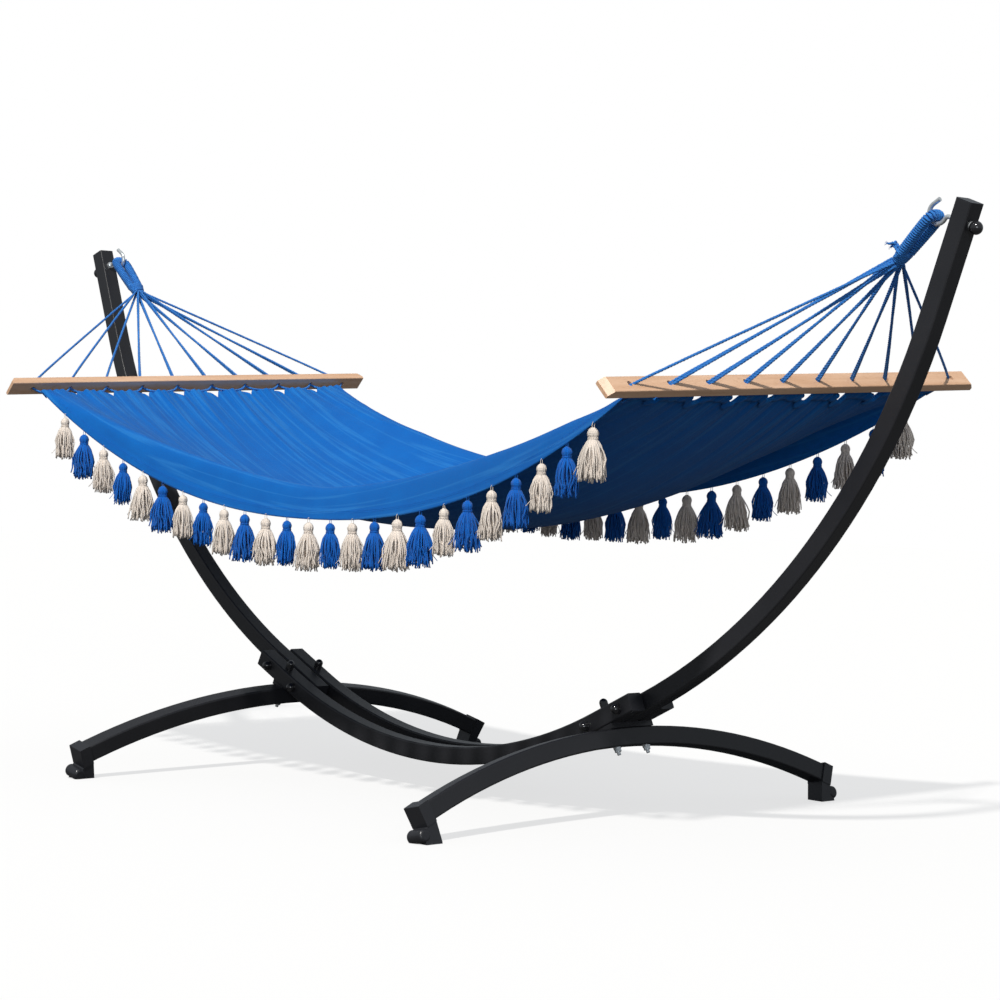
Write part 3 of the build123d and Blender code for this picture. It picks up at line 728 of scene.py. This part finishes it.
# two cord ends tied in a knot above the right gather, with frayed tips
def tieKnot(t):
    rng = random.Random(t["seed"])
    bin = MeshBin()
    middle = gather - pullDir * pull["binding"] / 3
    foot = middle + pullSide * t["foot"]
    top = middle + pullSide * t["top"]
    for k, lean in enumerate((-t["lean"], t["lean"])):
        stem = [
            foot + yAxis * lean,
            foot.lerp(top, 0.35) + yAxis * lean * 2.2 - pullDir * 0.003,
            foot.lerp(top, 0.7) + yAxis * lean,
            top + yAxis * lean * 0.4,
        ]
        layEven(bin, splineLine(stem, 10), t["stem"], k)
    layEven(bin, trefoil(top, t["size"], yAxis, pullSide, pullDir), t["turns"])
    for back, across in ((0.35, -0.5), (0.9, 0.4)):
        out = (pullSide * 0.6 - pullDir * back + yAxis * across).normalized()
        tail = [top, top + out * 0.007, top + out * 0.013 - pullDir * 0.002]
        layEven(bin, splineLine(tail, 8), t["tail"])
        for _ in range(t["hairs"]):
            stray = Vector((rng.uniform(-1, 1), rng.uniform(-1, 1), rng.uniform(-1, 1)))
            away = (out + stray * t["hairSpread"]).normalized()
            tip = tail[-1] + away * 0.008 + Vector((0, 0, -0.001))
            hair = [tail[-1], tail[-1] + away * 0.004, tip]
            bin.tube(hair, lambda s: t["hair"] * (1.1 - s), 4)
    ends = bin.piece("tieKnotEnds", "hammock", materials["cord"])
    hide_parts("tie_knot")


tieKnot(knot)
print("loops wound")

# cloth bed
bed = {
    "half": 0.9985,
    "endZ": 0.9102,
    "endDip": 0.004,
    "low": 0.595,
    "ridgeLow": 0.713,
    "hemLow": 0.637,
    "farRise": 0.015,
    "bedPower": 2.3,
    "ridgePower": 1.5,
    "hemPower": 2.25,
    "crossPower": 2.2,
    "ridgeHalf": 0.385,
    "ridgeHalfEnd": 0.450,
    "hemHalf": 0.427,
    "hemHalfEnd": 0.466,
    "flapBulge": 0.004,
    "flat": (1.02, 2.12),
    "thick": 0.0014,
    "columns": 236,
    "rows": 150,
    "roll": 0.0042,  # round the lacing cord in each tab
    "rollRows": 6,
    "rollBack": 0.022,
    "rollClose": 0.0024,
    "backRows": 3,
    "mapStep": 0.003,
    "notchDepth": 0.019,
    "notchHalf": 0.014,
    "notchReach": 0.07,
    "hemShare": 0.024,
    "hemRaise": 0.0008,
}

# heights of the cloth's folds, and how far in from its ends they reach
folds = {
    "gather": {"high": 0.0019, "reach": 0.028, "wide": 0.0216, "wander": 1.7},
    "tab": {"high": 0.0030, "reach": 0.10},
    "fan": {"close": 0.22, "reach": 0.8},
    "creases": [
        {"high": 0.0046, "reach": 0.42, "spot": (17, 1.5, 7.3), "from": 0, "sharp": 2.2, "power": 2.2},
        {"high": 0.0016, "reach": 0.26, "spot": (38, 2.6, 1), "from": 5, "sharp": 2.0, "power": 2},
    ],
    "waves": [(0.0035, 3.2, 1.8, 9), (0.0011, 14, 5, 2)],
}


def grow(low, high, power, share):
    return low + (high - low) * share**power


def bedSide(b, x, side):
    share = min(1.0, abs(x) / b["half"])
    middle = grow(b["low"], b["endZ"] - b["endDip"], b["bedPower"], share)
    ridge = grow(b["ridgeLow"], b["endZ"], b["ridgePower"], share)
    hem = grow(b["hemLow"] + (b["farRise"] if side > 0 else 0), b["endZ"], b["hemPower"], share)
    ridgeY = grow(b["ridgeHalf"], b["ridgeHalfEnd"], 2, share)
    hemY = grow(b["hemHalf"], b["hemHalfEnd"], 2, share)
    points = [
        (side * ridgeY * part, middle + (ridge - middle) * part ** b["crossPower"])
        for part in (0.0, 0.2, 0.4, 0.58, 0.74, 0.88, 1.0)
    ]
    bulge = b["flapBulge"]
    points.append((side * ((ridgeY + hemY) / 2 + bulge), (ridge + hem) / 2 + 1.5 * bulge))
    points.append((side * hemY, hem))
    return points, middle


# even points across the cloth at this length, with the arc's length
def bedLine(b, x, count):
    nearPoints, middle = bedSide(b, x, -1)
    points = nearPoints[:0:-1] + bedSide(b, x, 1)[0]
    fine = []
    for i in range(len(points)):
        if i == 0 or i == len(points) - 1:
            fine.append(Vector(points[i]))
            continue
        a, p, c = Vector(points[i - 1]), Vector(points[i]), Vector(points[i + 1])
        start = (a + p) / 2 if i > 1 else a
        stop = (p + c) / 2 if i < len(points) - 2 else c
        for k in range(1, 9):
            t = k / 8
            fine.append(start * (1 - t) ** 2 + p * 2 * t * (1 - t) + stop * t * t)
    runs = [0.0]
    for p, q in zip(fine, fine[1:]):
        runs.append(runs[-1] + (q - p).length)
    out, at = [], 0
    for j in range(count):
        want = runs[-1] * j / (count - 1)
        while at < len(fine) - 2 and runs[at + 1] < want:
            at += 1
        span = max(1e-9, runs[at + 1] - runs[at])
        out.append(fine[at].lerp(fine[at + 1], (want - runs[at]) / span))
    tilt = pull["tilt"]
    placed = []
    for p in out:
        y = p.x * cos(tilt) - (p.y - middle) * sin(tilt)
        z = middle + p.x * sin(tilt) + (p.y - middle) * cos(tilt)
        placed.append(Vector((x, y, z)))
    return placed, runs[-1]


# distances from one end to the middle, closer together near the end
def rowPlaces(b):
    half = b["rows"] // 2
    places = []
    for i in range(half + 1):
        share = i / half
        places.append(b["half"] * (0.12 * share + 0.88 * share**1.9))
    return places


# how far the cloth's end is cut back between two tabs
def notchAt(b, along):
    deep = 0.0
    for hole in holePlaces[1:-1]:
        deep = max(deep, 1 - abs(along - hole) / b["notchHalf"])
    return b["notchDepth"] * min(1.0, deep * 1.15)


# gathers, creases and slow waves of the cloth, along its normal
def foldHeight(f, along, fromEnd, x, side):
    g, tab, fan = f["gather"], f["tab"], f["fan"]
    wander = g["wander"] * noise.noise(Vector((along * 9, side, 3)))
    h = g["high"] * exp(-fromEnd / g["reach"]) * sin(2 * pi * along / g["wide"] + wander)
    h += tab["high"] * exp(-fromEnd / tab["reach"]) * cos(2 * pi * along / cords["pitch"])
    across = along * (1 - fan["close"] * min(1.0, fromEnd / fan["reach"]))
    for c in f["creases"]:
        spot = Vector((across * c["spot"][0], fromEnd * c["spot"][1], c["from"] + side * c["spot"][2]))
        ridge = max(0.0, 1 - abs(noise.noise(spot) * c["sharp"]))
        h += c["high"] * exp(-fromEnd / c["reach"]) * ridge ** c["power"]
    for high, acrossScale, alongScale, start in f["waves"]:
        h += high * noise.noise(Vector((along * acrossScale, x * alongScale, start)))
    return h


bedCache = {}


def bedPoint(b, x, j):
    key = round(x, 5)
    if key not in bedCache:
        bedCache[key] = bedLine(b, x, b["columns"])[0]
    return bedCache[key][j]


# the cloth without its folds, row by row from the left end to the right
def flatRows(b, rows):
    grid, maps = [], []
    run = 0.0
    last = None
    reach = b["notchReach"]
    for side, fromEnd in rows:
        straight, width = bedLine(b, side * (b["half"] - fromEnd), b["columns"])
        middlePoint = straight[b["columns"] // 2]
        if last is not None:
            run += (middlePoint - last).length
        last = middlePoint
        alongs = [width * (j / (b["columns"] - 1) - 0.5) for j in range(b["columns"])]
        line = []
        for j, (p, along) in enumerate(zip(straight, alongs)):
            if fromEnd < reach:
                cut = notchAt(b, along)
                d = cut + fromEnd * (reach - cut) / reach
                if d > fromEnd:
                    p = bedPoint(b, side * (b["half"] - d), j)
            line.append(p)
        grid.append(line)
        maps.append([(along, run) for along in alongs])
    return grid, maps


def foldRows(b, rows, grid, maps):
    folded = []
    edge = b["columns"] - 1
    for i, (side, fromEnd) in enumerate(rows):
        before, row, after = grid[max(i - 1, 0)], grid[i], grid[min(i + 1, len(grid) - 1)]
        line = []
        for j, point in enumerate(row):
            over = row[min(j + 1, edge)] - row[max(j - 1, 0)]
            normal = (after[j] - before[j]).cross(over).normalized()
            h = foldHeight(folds, maps[i][j][0], fromEnd, point.x, side)
            if min(j, edge - j) / edge < b["hemShare"]:
                h = h * 0.6 + b["hemRaise"]  # folded side hem
            line.append(point + normal * h)
        folded.append(line)
    return folded


# an end of the cloth, rolled round its lacing cord and run back underneath
def rollEnd(b, edgeLine, inner, side):
    rolled = [[] for _ in range(b["rollRows"])]
    back = [[] for _ in range(b["backRows"])]
    for j, point in enumerate(edgeLine):
        out = (point - inner[j]).normalized()
        across = edgeLine[min(j + 1, len(edgeLine) - 1)] - edgeLine[max(j - 1, 0)]
        over = Vector((0, across.y, across.z)).normalized()
        up = over.cross(out) if side < 0 else out.cross(over)
        if up.z < 0:
            up = -up
        centre = point - up * b["roll"]
        for k, line in enumerate(rolled):
            turn = pi * (k + 1) / b["rollRows"]
            line.append(centre + (up * cos(turn) + out * sin(turn)) * b["roll"])
        for k, line in enumerate(back):
            share = (k + 1) / b["backRows"]
            line.append(centre - up * (b["roll"] - b["rollClose"] * share) - out * b["rollBack"] * share)
    return rolled + back


def makeBed(b):
    places = rowPlaces(b)
    rows = [(-1, d) for d in places[:-1]] + [(1, d) for d in reversed(places)]
    grid, maps = flatRows(b, rows)
    folded = foldRows(b, rows, grid, maps)
    left = rollEnd(b, folded[0], folded[1], -1)
    right = rollEnd(b, folded[-1], folded[-2], 1)
    steps = [b["mapStep"] * (k + 1) for k in range(len(left))]
    leftMaps = [[(u, v - step) for u, v in maps[0]] for step in steps]
    rightMaps = [[(u, v + step) for u, v in maps[-1]] for step in steps]
    return left[::-1] + folded + right, leftMaps[::-1] + maps + rightMaps


def evaluatedMesh(holder):
    return bpy.data.meshes.new_from_object(holder.evaluated_get(bpy.context.evaluated_depsgraph_get()))


bedRows, bedMaps = makeBed(bed)
columns = bed["columns"]
faces = []
for i in range(len(bedRows) - 1):
    for j in range(columns - 1):
        a = i * columns + j
        faces.append((a + columns, a + columns + 1, a + 1, a))
verts = [p for line in bedRows for p in line]
uvs = [m for line in bedMaps for m in line]
cloth = pieceFrom("canvasBed", verts, faces, uvs, materials["cloth"])
thick = cloth.modifiers.new("thick", "SOLIDIFY")
thick.thickness = bed["thick"]
thick.offset = 0
thickMesh = evaluatedMesh(cloth)
cloth.modifiers.clear()
cloth.data = thickMesh
cloth.data.name = "canvasBed"
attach(cloth, "hammock")
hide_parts("bed")
print("cloth laid,", len(thickMesh.polygons), "faces")

# stitches along both side hems
stitch = {
    "pitch": 0.0044,
    "length": 0.0032,
    "width": 0.0006,
    "rows": (0.0165, 0.0205),  # shares of the cloth's width, in from each hem
    "lift": 0.0009,
    "step": 0.01,
}


def newGeometryTree(name, inputs):
    tree = bpy.data.node_groups.new(name, "GeometryNodeTree")
    tree.interface.new_socket("Geometry", in_out="INPUT", socket_type="NodeSocketGeometry")
    for label, kind, value in inputs:
        socket = tree.interface.new_socket(label, in_out="INPUT", socket_type=kind)
        if value is not None:
            socket.default_value = value
    tree.interface.new_socket("Geometry", in_out="OUTPUT", socket_type="NodeSocketGeometry")
    return tree, tree.nodes.new("NodeGroupInput"), tree.nodes.new("NodeGroupOutput")


# makes the tree's instances real, with its material input on them
def endTree(tree, gin, gout, onPoints, label):
    real = tree.nodes.new("GeometryNodeRealizeInstances")
    paint = tree.nodes.new("GeometryNodeSetMaterial")
    tree.links.new(onPoints.outputs[0], real.inputs[0])
    tree.links.new(real.outputs[0], paint.inputs["Geometry"])
    tree.links.new(gin.outputs[label], paint.inputs["Material"])
    tree.links.new(paint.outputs[0], gout.inputs[0])


def stitchTree():
    tree, gin, gout = newGeometryTree(
        "stitchRow",
        [
            ("Pitch", "NodeSocketFloat", 0.004),
            ("Length", "NodeSocketFloat", 0.003),
            ("Width", "NodeSocketFloat", 0.0006),
            ("Thread", "NodeSocketMaterial", None),
        ],
    )
    n, l = tree.nodes, tree.links
    toCurve = n.new("GeometryNodeMeshToCurve")
    points = n.new("GeometryNodeCurveToPoints")
    points.mode = "LENGTH"
    capsule = n.new("GeometryNodeMeshUVSphere")
    capsule.inputs["Segments"].default_value = 6
    capsule.inputs["Rings"].default_value = 4
    size = n.new("ShaderNodeCombineXYZ")
    shape = n.new("GeometryNodeTransform")
    onPoints = n.new("GeometryNodeInstanceOnPoints")
    l.new(gin.outputs["Geometry"], toCurve.inputs[0])
    l.new(toCurve.outputs[0], points.inputs["Curve"])
    l.new(gin.outputs["Pitch"], points.inputs["Length"])
    l.new(gin.outputs["Width"], size.inputs[0])
    l.new(gin.outputs["Width"], size.inputs[1])
    l.new(gin.outputs["Length"], size.inputs[2])
    l.new(capsule.outputs[0], shape.inputs["Geometry"])
    l.new(size.outputs[0], shape.inputs["Scale"])
    l.new(points.outputs["Points"], onPoints.inputs["Points"])
    l.new(points.outputs["Rotation"], onPoints.inputs["Rotation"])
    l.new(shape.outputs[0], onPoints.inputs["Instance"])
    endTree(tree, gin, gout, onPoints, "Thread")
    return tree


def socketId(tree, label):
    for item in tree.interface.items_tree:
        if item.name == label and item.in_out == "INPUT":
            return item.identifier


# the tree's result on these points, as a plain piece
def applyTree(tree, verts, edges, values, name, body):
    start = bpy.data.meshes.new(name)
    start.from_pydata(verts, edges, [])
    holder = bpy.data.objects.new(name, start)
    scene.collection.objects.link(holder)
    modifier = holder.modifiers.new("nodes", "NODES")
    modifier.node_group = tree
    for label, value in values.items():
        modifier[socketId(tree, label)] = value
    mesh = evaluatedMesh(holder)
    holder.modifiers.clear()
    bpy.data.objects.remove(holder)
    bpy.data.meshes.remove(start)
    mesh.name = name
    piece = bpy.data.objects.new(name, mesh)
    scene.collection.objects.link(piece)
    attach(piece, body)
    return piece


rolledRows = bed["rollRows"] + bed["backRows"]
bodyRows = bedRows[rolledRows:-rolledRows]


# a line on the upper or lower face of the cloth, this share of its width in from one hem
def hemRow(side, inset, lift):
    column = inset * (columns - 1)
    j = int(column)
    share = column - j
    k = j if side < 0 else columns - 1 - j
    line = []
    for i, row in enumerate(bodyRows):
        before = bodyRows[max(i - 1, 0)]
        after = bodyRows[min(i + 1, len(bodyRows) - 1)]
        along = (after[k] - before[k]).normalized()
        over = (row[min(k + 1, columns - 1)] - row[max(k - 1, 0)]).normalized()
        line.append(row[k].lerp(row[k - side], share) - over.cross(along) * lift)
    return line


rowVerts, rowEdges = [], []
for side in (-1, 1):
    for inset in stitch["rows"]:
        for lift in (-stitch["lift"], stitch["lift"]):
            line = resample(hemRow(side, inset, lift), stitch["step"])
            first = len(rowVerts)
            rowVerts += line
            rowEdges += [(first + i, first + i + 1) for i in range(len(line) - 1)]
stitchSizes = {
    "Pitch": stitch["pitch"],
    "Length": stitch["length"] / 2,
    "Width": stitch["width"],
    "Thread": materials["thread"],
}
stitches = applyTree(stitchTree(), rowVerts, rowEdges, stitchSizes, "hemStitches", "hammock")
print("hems stitched")

# tassels
tassel = {
    "count": 25,
    "span": 1.808,
    "farShift": 0.016,
    "head": 0.0110,
    "loop": 0.007,
    "length": 0.110,
    "wide": 0.029,
    "deep": 0.021,
    "strands": 88,
    "yarn": 0.00165,
    "kinds": 5,
    "firstSeed": 40,
    "sizeSpread": 0.07,
    "turn": 0.6,  # most turn from square, in radians
    "hang": 0.0005,
    "sway": 0.003,
    "stray": 0.0042,
    "bow": 0.0036,
    "neck": 0.0092,
    "neckTurns": 4,
    "neckSteps": 14,
    "neckHalf": 0.0042,
    "neckYarn": 0.0013,
    "tieYarn": 0.0007,
    "looseYarn": 0.0008,
    "loose": 2,
}

goldenAngle = 2.39996  # radians from one strand to the next


# a Catmull-Rom line through these points
def smoothPath(points, each):
    out = []
    for i in range(len(points) - 1):
        p0 = points[max(i - 1, 0)]
        p1, p2 = points[i], points[i + 1]
        p3 = points[min(i + 2, len(points) - 1)]
        second = 2 * p0 - 5 * p1 + 4 * p2 - p3
        third = 3 * p1 - p0 - 3 * p2 + p3
        for k in range(each):
            t = k / each
            out.append(0.5 * ((2 * p1) + (p2 - p0) * t + second * t * t + third * t**3))
    out.append(points[-1])
    return out


def anyWay(rng):
    return Vector((rng.uniform(-1, 1), rng.uniform(-1, 1), 0))


def atHeight(z):
    return Vector((0, 0, z))


# one strand, over the head, in at the neck and out to its cut end
def tasselStrand(t, rng, k, neck, sway):
    middle = -t["loop"] - t["head"]
    share = sqrt((k + 0.5) / t["strands"])
    angle = k * goldenAngle + rng.uniform(-0.1, 0.1)
    way = Vector((cos(angle), sin(angle), 0))
    top = t["head"] - t["yarn"] + rng.uniform(-0.0006, 0.0006)
    cut = -t["length"] + rng.uniform(-0.002, 0.012) + 0.006 * share * rng.random()
    endPoint = Vector((way.x * t["wide"] * share, way.y * t["deep"] * share, cut)) + sway
    endPoint += anyWay(rng) * t["stray"]
    bow = anyWay(rng) * t["bow"]
    points = [
        way * 0.0016 + atHeight(middle + t["head"] * 0.98),
        way * top * 0.72 + atHeight(middle + top * 0.70),
        way * top + atHeight(middle),
        way * top * 0.8 + atHeight(middle - top * 0.68),
        way * 0.0084 * (0.5 + 0.5 * share) + atHeight(neck),
        way * (0.0040 + 0.0125 * share) + atHeight(neck - 0.012),
    ]
    points.append(points[-1].lerp(endPoint, 0.42) + bow + way * 0.0045 * share)
    points.append(points[-2].lerp(endPoint, 0.78) - bow * 0.7)
    points.append(endPoint)
    return smoothPath(points, 2)


# a stray strand outside the skirt, in five points
def looseStrand(rng, neck):
    angle = rng.uniform(0, 2 * pi)
    way = Vector((cos(angle), sin(angle), 0))
    points = [way * 0.011 + atHeight(neck - 0.02)]
    for step in range(1, 5):
        out = way * (0.012 + 0.0052 * step) + anyWay(rng) * 0.004
        points.append(out + atHeight(neck - 0.02 - 0.0115 * step))
    return smoothPath(points, 2)


def tasselMesh(t, seed):
    rng = random.Random(seed)
    bin = MeshBin()
    sway = anyWay(rng) * t["sway"]
    neck = -t["loop"] - 2.05 * t["head"]
    for k in range(t["strands"]):
        strand = tasselStrand(t, rng, k, neck, sway)
        bin.tube(strand, lambda s: t["yarn"] * (1.0 if s < 0.93 else 0.82), 4)
    # turns of yarn round the neck
    ring = []
    count = t["neckTurns"] * t["neckSteps"]
    for i in range(count + 1):
        turn = 2 * pi * i / t["neckSteps"]
        height = neck + t["neckHalf"] - 2 * t["neckHalf"] * i / count
        ring.append(Vector((t["neck"] * cos(turn), t["neck"] * sin(turn), height)))
    bin.tube(ring, t["neckYarn"], 4)
    # tie from the head up through the hem
    tie = []
    for i in range(17):
        turn = 2 * pi * i / 16
        across = 0.0018 * sin(turn) + 0.0002 * i / 16
        tie.append(Vector((across, 0.0014 * sin(turn), -0.0035 - 0.0072 * cos(turn))))
    bin.tube(tie, t["tieYarn"], 4)
    for _ in range(t["loose"]):
        bin.tube(looseStrand(rng, neck), t["looseYarn"], 4)
    return bin


def tasselTree():
    tree, gin, gout = newGeometryTree(
        "hungTassels",
        [
            ("Kinds", "NodeSocketCollection", None),
            ("Size Spread", "NodeSocketFloat", 0.05),
            ("Seed", "NodeSocketInt", 1),
            ("Yarn", "NodeSocketMaterial", None),
        ],
    )
    n, l = tree.nodes, tree.links
    kinds = n.new("GeometryNodeCollectionInfo")
    kinds.inputs["Separate Children"].default_value = True
    kinds.inputs["Reset Children"].default_value = True
    pick = n.new("FunctionNodeRandomValue")
    pick.data_type = "INT"
    pick.inputs[4].default_value = 0
    pick.inputs[5].default_value = tassel["kinds"] - 1
    turn = n.new("FunctionNodeRandomValue")
    turn.data_type = "FLOAT"
    turn.inputs[2].default_value = -tassel["turn"]
    turn.inputs[3].default_value = tassel["turn"]
    upright = n.new("ShaderNodeCombineXYZ")
    size = n.new("FunctionNodeRandomValue")
    size.data_type = "FLOAT"
    onPoints = n.new("GeometryNodeInstanceOnPoints")
    onPoints.inputs["Pick Instance"].default_value = True
    l.new(gin.outputs["Kinds"], kinds.inputs["Collection"])
    for node in (pick, turn, size):
        l.new(gin.outputs["Seed"], node.inputs["Seed"])
    l.new(mathNode(n, l, "SUBTRACT", 1, gin.outputs["Size Spread"]), size.inputs[2])
    l.new(mathNode(n, l, "ADD", 1, gin.outputs["Size Spread"]), size.inputs[3])
    l.new(turn.outputs[1], upright.inputs[2])
    l.new(gin.outputs["Geometry"], onPoints.inputs["Points"])
    l.new(kinds.outputs[0], onPoints.inputs["Instance"])
    l.new(pick.outputs[2], onPoints.inputs["Instance Index"])
    l.new(upright.outputs[0], onPoints.inputs["Rotation"])
    l.new(size.outputs[1], onPoints.inputs["Scale"])
    endTree(tree, gin, gout, onPoints, "Yarn")
    return tree


kindBin = bpy.data.collections.new("tasselKinds")
scene.collection.children.link(kindBin)
kindObjects = []
for kind in range(tassel["kinds"]):
    made = tasselMesh(tassel, tassel["firstSeed"] + kind)
    mesh = meshFrom(f"tasselKind_{kind}", made.verts, made.faces, made.uvs)
    holder = bpy.data.objects.new(f"tasselKind_{kind}", mesh)
    kindBin.objects.link(holder)
    kindObjects.append(holder)


# a point on the side hem at this length
def hemEdge(x, side):
    j = 0 if side < 0 else columns - 1
    for a, b in zip(bodyRows, bodyRows[1:]):
        if min(a[j].x, b[j].x) <= x <= max(a[j].x, b[j].x):
            return a[j].lerp(b[j], (x - a[j].x) / (b[j].x - a[j].x))


tree = tasselTree()
pitch = tassel["span"] / (tassel["count"] - 1)
for side, label in ((-1, "near"), (1, "far")):
    for first, colour in ((0, "cream"), (1, "blue")):
        spots = []
        for number in range(first, tassel["count"], 2):
            x = number * pitch - tassel["span"] / 2 + (tassel["farShift"] if side > 0 else 0)
            spots.append(hemEdge(x, side) - Vector((0, 0, tassel["hang"])))
        values = {
            "Kinds": kindBin,
            "Size Spread": tassel["sizeSpread"],
            "Seed": 3 + side + 2 * first,
            "Yarn": materials[colour],
        }
        row = applyTree(tree, spots, [], values, f"tassels_{label}_{colour}Yarn", "hammock")
        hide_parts(f"tassels_{label}_{colour}")
        print("tassels", label, colour, len(row.data.polygons), "faces")
for holder in kindObjects:
    bpy.data.objects.remove(holder)
bpy.data.collections.remove(kindBin)

# studio
studio = {
    "sun": 3.5,
    "sunSize": radians(3),
    "sunTurn": (0.586, 0.398, 0.0),
    "sunColour": (1, 0.97, 0.92),
    "side": 0.55,
    "sideSize": radians(25),
    "sideFrom": (0.78, -0.6, 0.12),
    "sideColour": (0.9, 0.95, 1),
    "fill": 0.33,
    "fillColour": (0.86, 0.93, 1, 1),
    "backdrop": 1.0,
    "floorSeen": 0.86,
    "floorGlow": 0.7,
    "floorBounce": 0.1,
    "floorHalf": 14,
    "floorDrop": 0.0005,
}


def addSun(name, energy, size, colour, turn):
    sun = bpy.data.lights.new(name, "SUN")
    sun.energy = energy
    sun.angle = size
    sun.color = colour
    lamp = bpy.data.objects.new(name, sun)
    lamp.rotation_euler = turn
    scene.collection.objects.link(lamp)


# one of two shaders, by whether the camera sees the surface straight
def chooseBySight(n, l, seen, unseen):
    ray = n.new("ShaderNodeLightPath")
    choose = n.new("ShaderNodeMixShader")
    l.new(ray.outputs["Is Camera Ray"], choose.inputs[0])
    l.new(unseen.outputs[0], choose.inputs[1])
    l.new(seen.outputs[0], choose.inputs[2])
    return choose.outputs[0]


def floorFinish(s):
    floor = bpy.data.materials.new("paleFloor")
    floor.use_nodes = True
    n, l = floor.node_tree.nodes, floor.node_tree.links
    n.remove(n["Principled BSDF"])
    pale = n.new("ShaderNodeBsdfDiffuse")
    pale.inputs[0].default_value = (s["floorSeen"],) * 3 + (1,)
    dim = n.new("ShaderNodeBsdfDiffuse")
    dim.inputs[0].default_value = (s["floorBounce"],) * 3 + (1,)
    glow = n.new("ShaderNodeEmission")
    lit = n.new("ShaderNodeMixShader")
    lit.inputs[0].default_value = s["floorGlow"]
    l.new(pale.outputs[0], lit.inputs[1])
    l.new(glow.outputs[0], lit.inputs[2])
    l.new(chooseBySight(n, l, lit, dim), n["Material Output"].inputs["Surface"])
    return floor


def addStudio(s):
    scene.view_settings.view_transform = "Standard"
    world = bpy.data.worlds.new("studio")
    scene.world = world
    world.use_nodes = True
    n, l = world.node_tree.nodes, world.node_tree.links
    seen = n["Background"]
    seen.inputs["Color"].default_value = (1, 1, 1, 1)
    seen.inputs["Strength"].default_value = s["backdrop"]
    light = n.new("ShaderNodeBackground")
    light.inputs["Color"].default_value = s["fillColour"]
    light.inputs["Strength"].default_value = s["fill"]
    l.new(chooseBySight(n, l, seen, light), n["World Output"].inputs["Surface"])
    addSun("key", s["sun"], s["sunSize"], s["sunColour"], s["sunTurn"])
    sideTurn = Vector(s["sideFrom"]).to_track_quat("Z", "Y").to_euler()
    addSun("side", s["side"], s["sideSize"], s["sideColour"], sideTurn)
    r, z = s["floorHalf"], -s["floorDrop"]
    mesh = bpy.data.meshes.new("floor")
    mesh.from_pydata([(-r, -r, z), (r, -r, z), (r, r, z), (-r, r, z)], [], [(0, 1, 2, 3)])
    mesh.materials.append(floorFinish(s))
    ground = bpy.data.objects.new("floor", mesh)
    scene.collection.objects.link(ground)


addStudio(studio)
